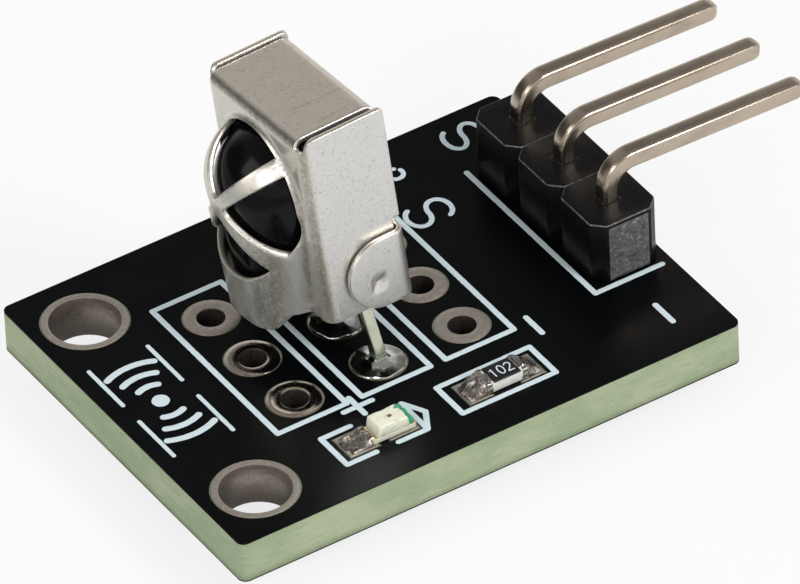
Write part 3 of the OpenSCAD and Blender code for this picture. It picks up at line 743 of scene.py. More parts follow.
def solder_finish(header):
    f = Finish("solder_metal", header.solder_colour, 0.24, metallic=1.0)
    f.tint(f.scaled(f.ramp(f.noise(0.20, detail=3, rough=0.6), 0.46, 0.62), 0.6),
           (0.30, 0.23, 0.19))
    f.tint(f.scaled(f.ramp(f.noise(0.10, detail=4, rough=0.7, shift=3.0), 0.54, 0.68), 0.6),
           (0.10, 0.075, 0.06))
    f.rough(f.noise(0.09, detail=3), 0.14, 0.44)
    f.bump(f.noise(0.13, detail=3), 0.035, 0.7)
    return f.material


def dull_solder_finish(header):
    f = Finish("dull_solder", shade(header.solder_colour, 0.62), 0.34, metallic=0.95)
    f.tint(f.scaled(f.ramp(f.noise(0.20, detail=5, rough=0.7), 0.42, 0.60), 0.8),
           (0.15, 0.10, 0.072))
    # Painted glints: lighter patches stand in for highlights on the solder.
    f.tint(f.scaled(f.ramp(f.noise(0.20, detail=2, shift=2.0), 0.54, 0.66), 0.9),
           shade(header.solder_colour, 1.3))
    f.rough(f.noise(0.2, detail=2), 0.14, 0.36)
    f.bump(f.noise(0.30, detail=1), 0.05, 0.8)
    return f.material


def pin_finish(header):
    f = Finish("pin_metal", header.pin_colour, 0.26, metallic=1.0)
    f.tint(f.scaled(f.ramp(f.noise(0.6, (2, 1, 1), 4, 0.6), 0.45, 0.72), 0.4),
           shade(header.pin_colour, 0.55))
    f.tint(f.scaled(f.ramp(f.noise(0.12, (2, 1, 1), 3, 0.7), 0.60, 0.76), 0.25),
           shade(header.pin_colour, 0.5))
    f.rough(f.noise(0.4, detail=4), 0.16, 0.30)
    f.bump(f.noise(0.2, (4, 1, 1), 3, 0.6), 0.006, 0.5)
    return f.material


def housing_finish(header):
    f = Finish("header_plastic", header.housing_colour, 0.3, level=0.15)
    f.tint(f.scaled(f.ramp(f.noise(0.05, detail=2), 0.68, 0.75), 0.5),
           (0.10, 0.10, 0.105))
    f.rough(f.noise(0.6, detail=4), 0.22, 0.5)
    f.bump(f.noise(0.15, detail=4), 0.012, 0.6)
    return f.material


# Rubbed top edges of the housing, lightened in patches: partly wear, partly a painted highlight
# along the edges.
def worn_and_highlit_edge_finish(header):
    f = Finish("worn_edge_and_painted_highlight", (0.06, 0.06, 0.062), 0.45, level=0.5)
    f.tint(f.scaled(f.ramp(f.noise(0.10, detail=4, rough=0.75), 0.48, 0.60), 0.8),
           (0.22, 0.22, 0.22))
    f.bump(f.noise(0.06, detail=3), 0.02, 0.8)
    return f.material


def broken_finish(header):
    f = Finish("snapped_plastic", (0.09, 0.09, 0.092), 0.6, level=0.5)
    grain = f.noise(0.11, detail=5, rough=0.8)
    f.tint(f.scaled(f.ramp(grain, 0.50, 0.62), 0.95), (0.28, 0.28, 0.285))
    f.tint(f.scaled(f.ramp(f.noise(0.22, detail=4, rough=0.7), 0.50, 0.64), 0.75),
           (0.025, 0.025, 0.026))
    f.bump(grain, 0.04, 0.9)
    return f.material


def nickel_finish(shield):
    f = Finish("shield_nickel", shield.metal_colour, 0.28, metallic=0.9)
    cloud = f.noise(0.8, (1, 1, 2.2), 5, 0.65)
    f.tint(f.scaled(f.ramp(cloud, 0.44, 0.70), 0.4), shade(shield.metal_colour, 0.66))
    # Painted light: faces turned to the front are lightened and warmed.
    f.tint(f.scaled(f.facing((-1.0, 0.1, -0.1), 0.70, 0.90), 0.6), (0.88, 0.86, 0.77))
    # The three bends are mottled dark brown: partly worn plating, partly painted shade on the bends.
    worn_and_painted_light = f.ramp(f.noise(0.15, (1, 1, 1.3), 5, 0.8, 9.0), 0.36, 0.60)
    for way in ((-0.78, -0.62, 0.0), (-0.78, 0.62, 0.0), (-0.84, 0.06, 0.54)):
        f.tint(f.scaled(f.times(f.facing(way, 0.92, 0.98), worn_and_painted_light), 0.68),
               (0.40, 0.35, 0.28))
    # Painted light: faces turned to the right side (-Y) get a cooler, whiter tone.
    f.tint(f.scaled(f.facing((0.0, -1.0, 0.0), 0.80, 0.98), 0.8), (0.73, 0.73, 0.715))
    # Painted light: faces turned up are lightened and warmed.
    f.tint(f.scaled(f.facing((0.0, 0.0, 1.0), 0.90, 0.98), 0.8), (0.88, 0.78, 0.65))
    scratch = f.ramp(f.noise(0.5, (18, 1, 1), 3, 0.7, 4.0), 0.62, 0.70)
    f.tint(f.scaled(f.times(f.facing((0.0, 0.0, 1.0), 0.90, 0.98), scratch), 0.4),
           shade(shield.speck_colour, 0.8))
    f.tint(f.scaled(f.ramp(f.noise(0.11, detail=5, rough=0.75), 0.54, 0.68), 0.5),
           shield.speck_colour)
    f.tint(f.scaled(f.ramp(f.noise(0.06, detail=3, shift=7.0), 0.66, 0.72), 0.55),
           shade(shield.speck_colour, 0.5))
    f.rough(f.noise(0.4, detail=5, rough=0.7), 0.20, 0.42)
    f.bump(f.noise(0.10, detail=4, rough=0.6), 0.010, 0.7)
    return f.material


def resin_finish(receiver):
    f = Finish("receiver_epoxy", receiver.body_colour, 0.14, level=0.17)
    f.tint(f.scaled(f.ramp(f.noise(0.07, detail=2), 0.70, 0.76), 0.5),
           (0.06, 0.055, 0.05))
    f.rough(f.noise(1.0, detail=2), 0.08, 0.22)
    return f.material


def lead_finish(receiver):
    f = Finish("lead_metal", receiver.lead_colour, 0.22, metallic=1.0)
    streak = f.noise(0.3, (1, 1, 3), 4, 0.6)
    f.tint(f.scaled(f.ramp(streak, 0.5, 0.75), 0.4), shade(receiver.lead_colour, 0.5))
    f.rough(streak, 0.14, 0.32)
    f.bump(f.noise(0.2, (1, 1, 3), 3), 0.012, 0.6)
    return f.material


def speckled_finish(name, colour, roughness, dark, level=0.4, metallic=0.0):
    """A quiet finish for the small chips."""
    f = Finish(name, colour, roughness, level=level, metallic=metallic)
    f.tint(f.scaled(f.ramp(f.noise(0.10, detail=4, rough=0.7), 0.52, 0.72), 0.5), dark)
    f.bump(f.noise(0.09, detail=3), 0.008, 0.6)
    return f.material


def milky_finish(chips):
    f = Finish("lamp_resin", chips.lamp_colour, 0.18, level=0.5)
    f.set("Subsurface Weight", 0.4)
    f.set("Subsurface Radius", (0.0004, 0.0004, 0.0003))
    f.set("Subsurface Scale", 1.0)
    f.tint(f.scaled(f.ramp(f.noise(0.22, detail=4, rough=0.7), 0.50, 0.70), 0.6),
           (0.52, 0.46, 0.30))
    f.rough(f.noise(0.15, detail=3), 0.10, 0.35)
    f.bump(f.noise(0.16, detail=3), 0.03, 0.7)
    return f.material


def coat_node(node, material):
    """Gives a CAD node's object a material."""
    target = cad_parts[node]
    for holder in target.material_slots:
        holder.material = material


def once(name, make, settings):
    """The material of that name, made at its first use."""
    return bpy.data.materials.get(name) or make(settings)


# ---- the pieces ----

def hole_places(board, header):
    """Places of the lead holes and of the header's holes."""
    rows = [board.row_y + i * board.pitch for i in (-1, 0, 1)]
    leads = [(board.column_x + i * board.column_pitch, y) for i in range(3) for y in rows]
    pins = [(header.place_x, header.place_y + i * board.pitch) for i in (-1, 0, 1)]
    return leads, pins


def plated_ring(board, hole, pad, place):
    """A plated hole with its two pads, edges rounded and tin a little domed."""
    r, rim, t, film = hole / 2, pad / 2, board.thickness, board.film
    wall = r + board.plating
    soft = 0.03
    crown = 0.008
    half = [(rim, t - film), (rim, t - 0.4 * film), (rim - soft, t),
            ((r + rim) / 2, t + crown), (r + 1.4 * soft, t + 0.2 * crown),
            (r + 0.4 * soft, t - 0.4 * soft), (r, t - 1.4 * soft)]
    lower = [(x, t - z) for x, z in half[::-1]]
    profile = half + lower + [(wall, film), (wall, t - film)]
    return turned_solid(profile, (*place, 0.0), 72)


class RECEIVER_OT_board(bpy.types.Operator):
    """Give the laminate and the solder mask their finishes"""
    bl_idname = "receiver.board"
    bl_label = "Board"

    def execute(self, context):
        board = values(context.scene.receiver_module.board)
        coat_node("pcb_laminate", laminate_finish(board))
        mask = mask_finish(board)
        coat_node("solder_mask_top", mask)
        coat_node("solder_mask_bottom", mask)
        return {"FINISHED"}


class RECEIVER_OT_plating(bpy.types.Operator):
    """Add the plated holes with their tinned pads"""
    bl_idname = "receiver.plating"
    bl_label = "Plated holes"

    def execute(self, context):
        module = context.scene.receiver_module
        board, header = values(module.board), values(module.header)
        chips = values(module.chips)
        tin = tin_finish(board)
        leads, pins = hole_places(board, header)
        mounts = [(0, s * board.mount_span / 2) for s in (-1, 1)]
        rows = (("mounting_hole_plating", mounts, board.mount_hole,
                 board.mount_hole + 2 * board.mount_ring),
                ("lead_hole_plating", leads, board.lead_hole, board.lead_pad),
                ("header_hole_plating", pins, board.pin_hole, board.pin_pad))
        # dark carries painted shade for the small holes' walls; wide has painted shade low in the
        # mounting holes.
        bright, dark, wide = bright_tin_finish(board), hole_finish(board), wide_hole_finish(board)
        shiny = [leads[1], leads[0], leads[3], leads[4], leads[5]]
        for node, places, hole, pad in rows:
            rings = [plated_ring(board, hole, pad, p) for p in places]

            def zone(centre, normal, places=places, wall=hole / 2 + 0.025):
                near = min(places, key=lambda p: math.dist(p, centre[:2]))
                if math.dist(near, centre[:2]) < wall:
                    return 3 if near in mounts else 2
                return 1 if near in shiny else 0
            add_piece(node + "_tin", joined(rings), tin, [node],
                      more=(bright, dark, wide), zone=zone)
        for node, x, gap, size in (
                ("resistor_pads", chips.resistor_pad_x, chips.resistor_gap, chips.resistor_pad),
                ("lamp_pads", chips.lamp_pad_x, chips.lamp_gap, chips.lamp_pad)):
            pads = []
            for s in (-1, 1):
                mid = x + s * (gap + size) / 2
                outline = box_outline(mid - size / 2, chips.pad_y - chips.pad_w / 2,
                                      mid + size / 2, chips.pad_y + chips.pad_w / 2, 0.06)
                pads.append(slab([outline], board.thickness, board.film, 0.015, 0.2))
            add_piece(node + "_tin", joined(pads), tin, [node])
        return {"FINISHED"}


def letter_s(x, y, long, wide):
    """Centre line of a letter S that lies along X."""
    a, b = long / 4, wide / 2
    upper = [(t[0], t[1]) for t in arc(0, 0, 1, 20, 270, 20)]
    lower = [(t[0], t[1]) for t in arc(0, 0, 1, 90, -160, 20)]
    path = [(b * p, a + a * q) for p, q in upper] + [(b * p, -a + a * q) for p, q in lower[1:]]
    return [(x - q, y + p) for p, q in path]


def frame_strokes(x0, y0, x1, y1, w):
    """The four sides of a printed box, given by its outer corners."""
    h = w / 2
    a, b, c, d = (x0 + h, y0 + h), (x1 - h, y0 + h), (x1 - h, y1 - h), (x0 + h, y1 - h)
    return [stroke(side, w) for side in ((a, b), (b, c), (c, d), (d, a))]


def print_loops(board, header, chips):
    """Outlines of everything printed on the board, all anticlockwise."""
    w = board.print_w
    loops = []
    for i in range(3):
        x = board.column_x + i * board.column_pitch - 0.08
        loops += frame_strokes(x - 1.4225, board.row_y - board.pitch - 1.3,
                               x + 1.4225, board.row_y + board.pitch + 1.46, w)
    x0 = header.place_x - header.depth / 2 - 0.18 - w / 2
    y0 = header.place_y - 1.5 * board.pitch - 0.34 + w / 2
    loops.append(stroke([(x0, header.place_y + 1.5 * board.pitch - 0.15), (x0, y0)], w))
    loops.append(stroke([(x0, y0), (header.place_x + header.depth / 2 - 0.2, y0)], w))
    half = chips.pad_w / 2 + 0.13 + w
    x = chips.resistor_pad_x - 0.1
    loops += frame_strokes(x - 1.9, chips.pad_y - half, x + 1.9, chips.pad_y + half, w)
    loops += lamp_marks(chips, w, half)
    for bar in (((4.895, -3.13), (4.895, -4.10)), ((4.36, -3.65), (5.45, -3.65)),
                ((11.815, -3.03), (11.815, -4.0)), ((15.605, -4.95), (15.605, -5.98))):
        loops.append(stroke(bar, w))
    loops.append(stroke(letter_s(12.18, 3.35, 1.62, 1.02), board.letter_w))
    loops.append(stroke(letter_s(15.30, 6.08, 1.37, 1.07), board.letter_w))
    loops.append(stroke(arc(12.38, 5.7, 0.27, 70, 380, 20), 0.17))
    return loops


def lamp_marks(chips, w, half):
    """The open bracket and the pointed end round the lamp."""
    x0 = chips.lamp_pad_x - chips.lamp_gap / 2 - chips.lamp_pad - 0.2 - w / 2
    x1 = chips.lamp_pad_x + chips.lamp_gap / 2 + chips.lamp_pad + 0.05 + w / 2
    y0, y1 = chips.pad_y - half + w / 2, chips.pad_y + half - w / 2
    arm = chips.lamp_pad + 0.2 - w
    tip = (x1 + 0.42, chips.pad_y)
    lines = [[(x0, y0), (x0, y1)], [(x0, y0), (x0 + arm, y0)], [(x0, y1), (x0 + arm, y1)],
             [(x1, y0), (x1, y1)], [(x1 - arm, y0), (x1, y0)],
             [(x1, y0), tip], [(x1, y1), tip]]
    return [stroke(line, w) for line in lines]


def motif_loops(w):
    """A plain receiving mark for the board's end: a dot, arcs and two bars."""
    x, y = -0.15, 0.3
    loops = [turned(arc(x, y, 0.3, 0, 360, 24)[:-1])]
    for r in (0.85, 1.45, 2.05):
        for side in (0, 180):
            loops.append(stroke(arc(x, y, r, 64 + side, 116 + side, 18), 0.24))
    for side in (-1, 1):
        loops.append(stroke([(x + side * 1.13, y - 2.6), (x + side * 1.13, y - 0.5)], 0.15))
        loops.append(stroke([(x + side * 1.13, y + 0.5), (x + side * 1.13, y + 2.6)], 0.15))
    return loops


class RECEIVER_OT_print(bpy.types.Operator):
    """Add the printed lines, signs and letters"""
    bl_idname = "receiver.print"
    bl_label = "Print"

    def execute(self, context):
        module = context.scene.receiver_module
        board = values(module.board)
        chips = values(module.chips)
        ink = ink_finish(board)
        top = board.thickness + board.print_t
        loops = print_loops(board, values(module.header), chips)
        lines = sheet_solid([ragged(l) for l in loops], flat_at(top), board.print_t,
                            0.006, 0.4, 0.07)
        add_piece("printed_lines", lines, ink, ["silkscreen_top"])
        mark = sheet_solid([ragged(l) for l in motif_loops(board.print_w)], flat_at(top),
                           board.print_t, 0.006, 0.4, 0.07)
        add_piece("printed_mark", mark, ink)
        return {"FINISHED"}


def flat_at(top):
    """A level surface at height top for sheet_solid."""
    return lambda u, v, depth: np.stack([u, v, top - depth], axis=1)


def ragged(loop, amount=0.008):
    """An outline with the slight unevenness of printed ink."""
    out = []
    for x, y in divided(loop, 0.07):
        push = noise.noise_vector(Vector((x * 6, y * 6, 0.5)))
        out.append((x + push.x * amount, y + push.y * amount))
    return out


def section(w, h, r):
    """A bar's cross-section with rounded corners."""
    return rounded([(-w / 2, -h / 2), (w / 2, -h / 2), (w / 2, h / 2), (-w / 2, h / 2)], r, 4)


def pin_stations(board, header, y):
    """Stations along one bent pin, from its tail to its tip."""
    x, r, droop = header.place_x, header.bend_r, header.droop
    top = board.thickness + header.rise
    turn_z = top - r * math.cos(droop)
    run = (header.reach - r * (1 + math.sin(droop))) / math.cos(droop)
    across = Vector((0, 1, 0))
    shrink = header.pin_tip_in / (header.pin_w / 2)
    taper = [(0.0, 1 - shrink), (0.25, 1 - 0.45 * shrink), (0.6, 1 - 0.12 * shrink), (1.0, 1.0)]
    stations = []
    for part, scale in taper:
        stations.append((Vector((x, y, -header.tail + part * header.pin_tip)),
                         across, Vector((-1, 0, 0)), scale))
    angle = QUARTER + droop
    for i in range(25):
        a = angle * i / 24
        out = Vector((-math.cos(a), 0, math.sin(a)))
        stations.append((Vector((x + r, y, turn_z)) + out * r, across, out, 1.0))
    out = Vector((-math.cos(angle), 0, math.sin(angle)))
    ahead = Vector((math.sin(angle), 0, math.cos(angle)))
    start = Vector((x + r, y, turn_z)) + out * r
    for part, scale in taper[::-1]:
        stations.append((start + ahead * (run - part * header.pin_tip), across, out, scale))
    return stations


def unit_outline(header, board, x, y):
    """Plan of one housing unit with its corners cut."""
    a, b, c = header.depth / 2, board.pitch / 2, header.cut
    return [(x + a, y - b + c), (x + a, y + b - c), (x + a - c, y + b), (x - a + c, y + b),
            (x - a, y + b - c), (x - a, y - b + c), (x - a + c, y - b), (x + a - c, y - b)]


def snapped_face(header, board):
    """The rough face where the housing was broken off a longer strip."""
    x0 = header.place_x - header.depth / 2 + header.cut + 0.06
    x1 = header.place_x + header.depth / 2 - header.cut - 0.10
    y = header.place_y - 1.5 * board.pitch
    z0, z1 = board.thickness + 0.02, board.thickness + header.height - 0.16
    verts, faces = [], []
    across, rows = 60, 76
    for i in range(across + 1):
        for j in range(rows + 1):
            x, z = x0 + (x1 - x0) * i / across, z0 + (z1 - z0) * j / rows
            edge = min(i, across - i, j, rows - j) / 4
            bump = noise.noise(Vector((x * 7, 2.0, z * 7))) + 0.6 * noise.noise(
                Vector((x * 21, 5.0, z * 21)))
            verts.append((x, y - min(1.0, edge) * (0.035 + 0.03 * bump), z))
    count = len(verts)
    verts += [(v[0], y + 0.03, v[2]) for v in verts]
    for i in range(across):
        for j in range(rows):
            a = i * (rows + 1) + j
            b = a + rows + 1
            faces.append((a, b, b + 1, a + 1))
            faces.append((a + count, a + 1 + count, b + 1 + count, b + count))
    rim = [i * (rows + 1) for i in range(across + 1)]
    rim += [across * (rows + 1) + j for j in range(1, rows + 1)]
    rim += [i * (rows + 1) + rows for i in range(across - 1, -1, -1)]
    rim += list(range(rows - 1, 0, -1))
    for a, b in zip(rim, rim[1:] + rim[:1]):
        faces.append((a, b, b + count, a + count))
    return np.array(verts), faces


class RECEIVER_OT_header(bpy.types.Operator):
    """Add the header's housing, its three bent pins and their solder"""
    bl_idname = "receiver.header"
    bl_label = "Pin header"

    def execute(self, context):
        module = context.scene.receiver_module
        board, header = values(module.board), values(module.header)
        plastic = housing_finish(header)
        metal = pin_finish(header)
        places = hole_places(board, header)[1]
        units = []
        for x, y in places:
            outline = turned(rounded(unit_outline(header, board, x, y), 0.05, 3))
            core = section(header.pin_w + 0.03, header.pin_w + 0.03, header.pin_edge)
            hole = turned([(x + p, y + q) for p, q in core], hole=True)
            units.append(slab([outline, hole], board.thickness + header.height,
                              header.height, 0.05, 0.3, 0.08))

        # The housing's top edges get the rubbed finish, which also carries a painted highlight.
        def worn_and_painted_light(centre, normal):
            high = centre[2] > board.thickness + header.height - 0.06
            clear = max(abs(centre[1] - p[1]) for p in places) > 0
            return 1 if high and 0.25 < normal[2] < 0.97 and clear else 0
        add_piece("header_housing_moulding", joined(units), plastic,
                  ["header_housing"], sharp=50, more=(worn_and_highlit_edge_finish(header),), zone=worn_and_painted_light)
        add_piece("header_snapped_face", snapped_face(header, board), broken_finish(header),
                  sharp=70)
        bar = section(header.pin_w, header.pin_w, header.pin_edge)
        for name, place in zip(("header_pin_3", "header_pin_2", "header_pin_1"), places):
            pin = swept(pin_stations(board, header, place[1]), bar)
            add_piece(name + "_bar", pin, metal, [name], sharp=35)
        solder = once("solder_metal", solder_finish, header)
        r, core = board.pin_pad / 2 - 0.07, header.pin_w / 2
        profile = [(core * 0.9, -0.72), (core + 0.08, -0.70), (core + 0.16, -0.55),
                   (core + 0.24, -0.35), (r - 0.1, -0.12), (r, -0.02), (r, 0.01),
                   (board.pin_hole / 2 - 0.01, 0.01), (board.pin_hole / 2 - 0.01, 1.58),
                   (core * 0.9, 1.58)]
        cones = [turned_solid(profile, (*p, 0.0), 64, 0.05, p[1]) for p in places]
        add_piece("header_solder_cones", joined(cones), solder,
                  ["header_solder"])
        return {"FINISHED"}


def can_matrix(shield):
    """From the can's own frame, in millimetres, to the module's."""
    place = Vector((shield.place_x, shield.place_y, shield.place_z))
    return (Matrix.Translation(place) @ Matrix.Rotation(shield.nod, 4, "Y")
            @ Matrix.Rotation(shield.lean, 4, "X"))


def chin_foot(shield, inset):
    """Plan of the dome's chin at its foot."""
    front = -shield.depth / 2
    x = shield.chin_out - inset
    side = [(shield.dome_inset + 0.4, shield.dome_r - 0.6 - inset),
            (0.1, 1.95 - inset), (0.57 - x, shield.chin_flat + 0.4 - inset),
            (-x, shield.chin_flat - 0.4)]
    points = side + [(-x - 0.04, 0)] + [(p, -q) for p, q in side[::-1]]
    soft = rounded([(front + p, q) for p, q in points], 0.5, 8)
    return soft


class DomeSkin:
    """The drawn front: a dome and its chin, run softly into the flat panel."""

    def __init__(self, shield, inset, blur=0.055, step=0.04):
        self.low = np.array([-shield.width / 2, -1.0])
        self.step = step
        front = -shield.depth / 2
        centre = (front + shield.dome_inset, 0.0, shield.dome_z)
        mesh = ball_and_foot(shield.dome_r - inset, centre, chin_foot(shield, inset), -0.8)
        tree = BVHTree.FromBMesh(mesh)
        mesh.free()
        rows = [self.low[1] + step * i for i in range(int(9.0 / step))]
        columns = [self.low[0] + step * i for i in range(int(shield.width / step) + 1)]
        ahead = Vector((1, 0, 0))
        grid = np.full((len(columns), len(rows)), front + inset)
        for i, y in enumerate(columns):
            for j, z in enumerate(rows):
                hit = tree.ray_cast(Vector((-9, y, z)), ahead)[0]
                if hit is not None:
                    grid[i, j] = min(grid[i, j], hit.x)
        reach = math.ceil(3 * blur / step)
        weights = np.exp(-0.5 * (np.arange(-reach, reach + 1) * step / blur) ** 2)
        weights /= weights.sum()
        for axis in (0, 1):
            wide = np.pad(grid, [(reach, reach) if k == axis else (0, 0) for k in (0, 1)],
                          mode="edge")
            size = grid.shape[axis]
            grid = sum(w * np.take(wide, range(k, k + size), axis=axis)
                       for k, w in enumerate(weights))
        self.grid = grid

    def heights(self, y, z):
        """X of the skin at each place, read between the grid's points."""
        i = np.clip((y - self.low[0]) / self.step, 0, self.grid.shape[0] - 1.001)
        j = np.clip((z - self.low[1]) / self.step, 0, self.grid.shape[1] - 1.001)
        a, b = i.astype(int), j.astype(int)
        p, q, g = i - a, j - b, self.grid
        return ((g[a, b] * (1 - p) + g[a + 1, b] * p) * (1 - q)
                + (g[a, b + 1] * (1 - p) + g[a + 1, b + 1] * p) * q)


def window_reach(shield, turn):
    """Radius of the round window at an angle in degrees from the side."""
    rise = math.sin(math.radians(turn))
    far = shield.window_top if rise > 0 else shield.window_foot
    return shield.window_r + (far - shield.window_r) * abs(rise) ** 1.5


def window_outlines(shield):
    """The four openings between the crossed straps."""
    half = shield.strap_w / 2
    inner = half * math.sqrt(2)
    loops = []
    for middle in (0, 90, 180, 270):
        edge = []
        for turn in np.linspace(-41, 41, 60):
            reach = window_reach(shield, middle + turn)
            gap = half + 0.12 * max(0.0, abs(turn) - 30) / 11
            along = math.radians(middle + turn)
            across = reach * math.sin(math.radians(45 - abs(turn)))
            if across > gap:
                edge.append((reach * math.cos(along), reach * math.sin(along), 0.0))
        edge[0] = (*edge[0][:2], shield.window_corner)
        edge[-1] = (*edge[-1][:2], shield.window_corner)
        a = math.radians(middle)
        points = edge + [(inner * math.cos(a), inner * math.sin(a), shield.window_corner)]
        outline = [(y, z + shield.dome_z - 0.06) for y, z in rounded(points, 0.0, 8)]
        loops.append(turned(outline, hole=True))
    return loops


def shield_blank(shield):
    """Outline of the flat sheet from which the whole shield is folded, and
    the heights of its folds."""
    half = shield.width / 2
    fold_u = half - shield.bend_r
    arc_u = shield.bend_r * QUARTER
    side_u = fold_u + arc_u
    fold_v = shield.height - shield.cap_bend_r
    arc_v = shield.cap_bend_r * QUARTER
    flat_v = shield.depth - 2 * shield.cap_bend_r
    back_v = fold_v + 2 * arc_v + flat_v
    top = shield.height + shield.side_rise
    end = side_u + shield.depth - shield.bend_r
    inner_end = end - shield.sheet - shield.fold_gap
    notch_z = shield.ear_h + shield.ear_notch
    cap = half - shield.sheet - shield.seam
    ear_r = shield.sheet + shield.ear_bend + shield.fold_gap
    ear_u = half + shield.fold_gap + shield.sheet - ear_r
    ear_end = ear_u + ear_r * QUARTER + shield.ear_reach - ear_r
    bottom_v = back_v + fold_v
    ear_v = bottom_v - shield.ear_h
    r = shield.ear_h / 2
    sides = []
    for edge in (cap + shield.cap_shift, cap):
        sides.append([
            (1.31, -0.42, 0.05), (1.47, -0.22, 0.08), (1.72, 0.18, 0.1), (2.2, 0.12, 0.2),
            (2.65, 0.03, 0.2), (2.95, 0.0, 0.2), (inner_end, 0, 0.12), (inner_end, notch_z, 0.06),
            (end, notch_z, 0.06), (end, top, 0.2), (side_u - 0.12, top, 0.14),
            (fold_u + 0.44, top - 0.2, 0.1), (fold_u + 0.40, fold_v + 0.08, 0.15),
            (edge + 0.03, fold_v + 0.08, 0.15), (edge, fold_v + 0.4, 0.2),
            (edge, back_v - 0.45, 0.15), (half - 0.24, back_v + 0.1, 0.2),
            (half - 0.24, bottom_v - notch_z, 0.06), (half - 0.39, bottom_v - notch_z, 0.06),
            (half - 0.39, ear_v, 0.06)]
            + [(*p, 0.0) for p in arc(ear_end - r, ear_v + r, r, -90, 90, 28)])
    left, right = sides
    outline = rounded(left + [(-p[0], *p[1:]) for p in right[::-1]], 0.12, 4)
    folds = SimpleNamespace(fold_u=fold_u, side_u=side_u, fold_v=fold_v, arc_v=arc_v,
                            flat_v=flat_v, back_v=back_v, ear_u=ear_u, ear_r=ear_r,
                            bottom_v=bottom_v)
    return turned(outline), folds


def fold_surface(shield, folds):
    """Places of the folded sheet for sheet_solid."""
    front, back = -shield.depth / 2, shield.depth / 2
    half = shield.width / 2
    r, rc = shield.bend_r, shield.cap_bend_r
    outer_skin = DomeSkin(shield, 0.0)
    inner_skin = DomeSkin(shield, shield.sheet)

    def surface(u, v, depth):
        side = np.sign(u)
        au = np.abs(u)
        out = np.zeros((len(u), 3))
        # front panel, upright bends and side panels
        phi = np.clip((au - folds.fold_u) / r, 0, QUARTER)
        psi = np.clip((v - folds.fold_v) / rc, 0, QUARTER)
        corner = au < folds.side_u
        lean = np.clip((folds.fold_u + 0.40 - au) / 0.25, 0, 1) * corner
        radius = r - depth - lean * rc * (1 - np.cos(psi))
        rolled = folds.fold_v + (rc - depth) * np.sin(psi)
        lift = np.where(psi > 0, v + (rolled - v) * lean, v)
        wrap_x = front + r - radius * np.cos(phi) + np.maximum(au - folds.side_u, 0)
        wrap_y = side * (np.minimum(au, folds.fold_u) + radius * np.sin(phi))
        wrap_y = np.where(au > folds.side_u, side * (half - depth), wrap_y)
        out[:] = np.stack([wrap_x, wrap_y, lift], axis=1)
        # top panel with its bends
        above = v > shield.height + shield.side_rise + 0.01
        between = (u > -folds.fold_u) & (u < folds.fold_u + shield.cap_shift)
        over = (v > folds.fold_v) & (above | between)
        s = v - folds.fold_v
        a0 = np.clip(s / rc, 0, QUARTER)
        a1 = np.clip((s - folds.arc_v - folds.flat_v) / rc, 0, QUARTER)
        run = np.clip(s - folds.arc_v, 0, folds.flat_v)
        cap_x = front + rc - (rc - depth) * np.cos(a0) + run + (rc - depth) * np.sin(a1)
        cap_x += (r - r * np.cos(phi)) * np.clip(1 - s / rc, 0, 1)
        cap_z = folds.fold_v + (rc - depth) * np.sin(a0) * np.cos(a1)
        cap = np.stack([cap_x, u, cap_z], axis=1)
        out[over] = cap[over]
        # back panel and the two ears
        behind = v > folds.back_v
        er = folds.ear_r
        turn = np.clip((au - folds.ear_u) / er, 0, QUARTER)
        past = np.maximum(au - folds.ear_u - er * QUARTER, 0)
        du = au - (folds.ear_u + er * QUARTER + 1.25 - er)
        dz = (folds.bottom_v - v) - 1.0
        press = 1 - np.maximum(np.abs(du), np.abs(dz)) / (shield.dimple_w / 2)
        sunk = depth + shield.dimple_depth * np.clip(press * 1.3, 0, 1)
        sunk = np.where(au > folds.ear_u, sunk, depth)
        back_x = back - er + (er - sunk) * np.cos(turn) - past
        back_y = side * (np.minimum(au, folds.ear_u) + (er - sunk) * np.sin(turn))
        rear = np.stack([back_x, back_y, folds.bottom_v - v], axis=1)
        out[behind] = rear[behind]
        # the drawn dome
        drawn = (v < folds.fold_v) & (au < folds.fold_u)
        outside = outer_skin.heights(u[drawn], v[drawn])
        inside = inner_skin.heights(u[drawn], v[drawn])
        part = depth[drawn] / shield.sheet
        out[drawn, 0] = outside + (inside - outside) * part
        return out
    return surface


class RECEIVER_OT_shield(bpy.types.Operator):
    """Fold the metal shield out of one sheet and draw its caged dome"""
    bl_idname = "receiver.shield"
    bl_label = "Shield"

    def execute(self, context):
        shield = values(context.scene.receiver_module.shield)
        outline, folds = shield_blank(shield)
        loops = [outline] + window_outlines(shield)
        solid = sheet_solid(loops, fold_surface(shield, folds), shield.sheet, shield.lip,
                            0.12, 0.06)
        add_piece("receiver_shield_sheet", moved(solid, can_matrix(shield)),
                  nickel_finish(shield), ["receiver_shield"], sharp=50)
        return {"FINISHED"}


def lead_stations(board, receiver, shield, header, index):
    """Stations of one receiver lead, from its tail up into the body."""
    x = board.column_x + board.column_pitch
    y = board.row_y + index * board.pitch
    matrix = can_matrix(shield)
    turn = matrix.to_3x3()
    up = Vector((0, 1, 0))
    knee = board.thickness + receiver.knee
    neck = receiver.body_foot - 0.25
    stations = [(Vector((x, y, -header.tail)), 0.7), (Vector((x, y, -header.tail + 0.12)), 1.0),
                (Vector((x, y, knee - 0.12)), 1.0)]
    target = matrix @ Vector((0, index * receiver.root_pitch, neck))
    start = Vector((x, y, knee))
    for part in (0.08, 0.3, 0.6, 0.9):
        stations.append((start.lerp(target, part), 1.0))
    for height in (neck + 0.12, receiver.body_foot + receiver.lead_root):
        stations.append((matrix @ Vector((0, index * receiver.root_pitch, height)), 1.0))
    out = []
    for i, (spot, scale) in enumerate(stations):
        t = min(1.0, max(0.0, (i - 2) / 5))
        across = Vector((1, 0, 0)).lerp(turn @ Vector((1, 0, 0)), t)
        out.append((spot, across, up.lerp(turn @ up, t), scale))
    return out


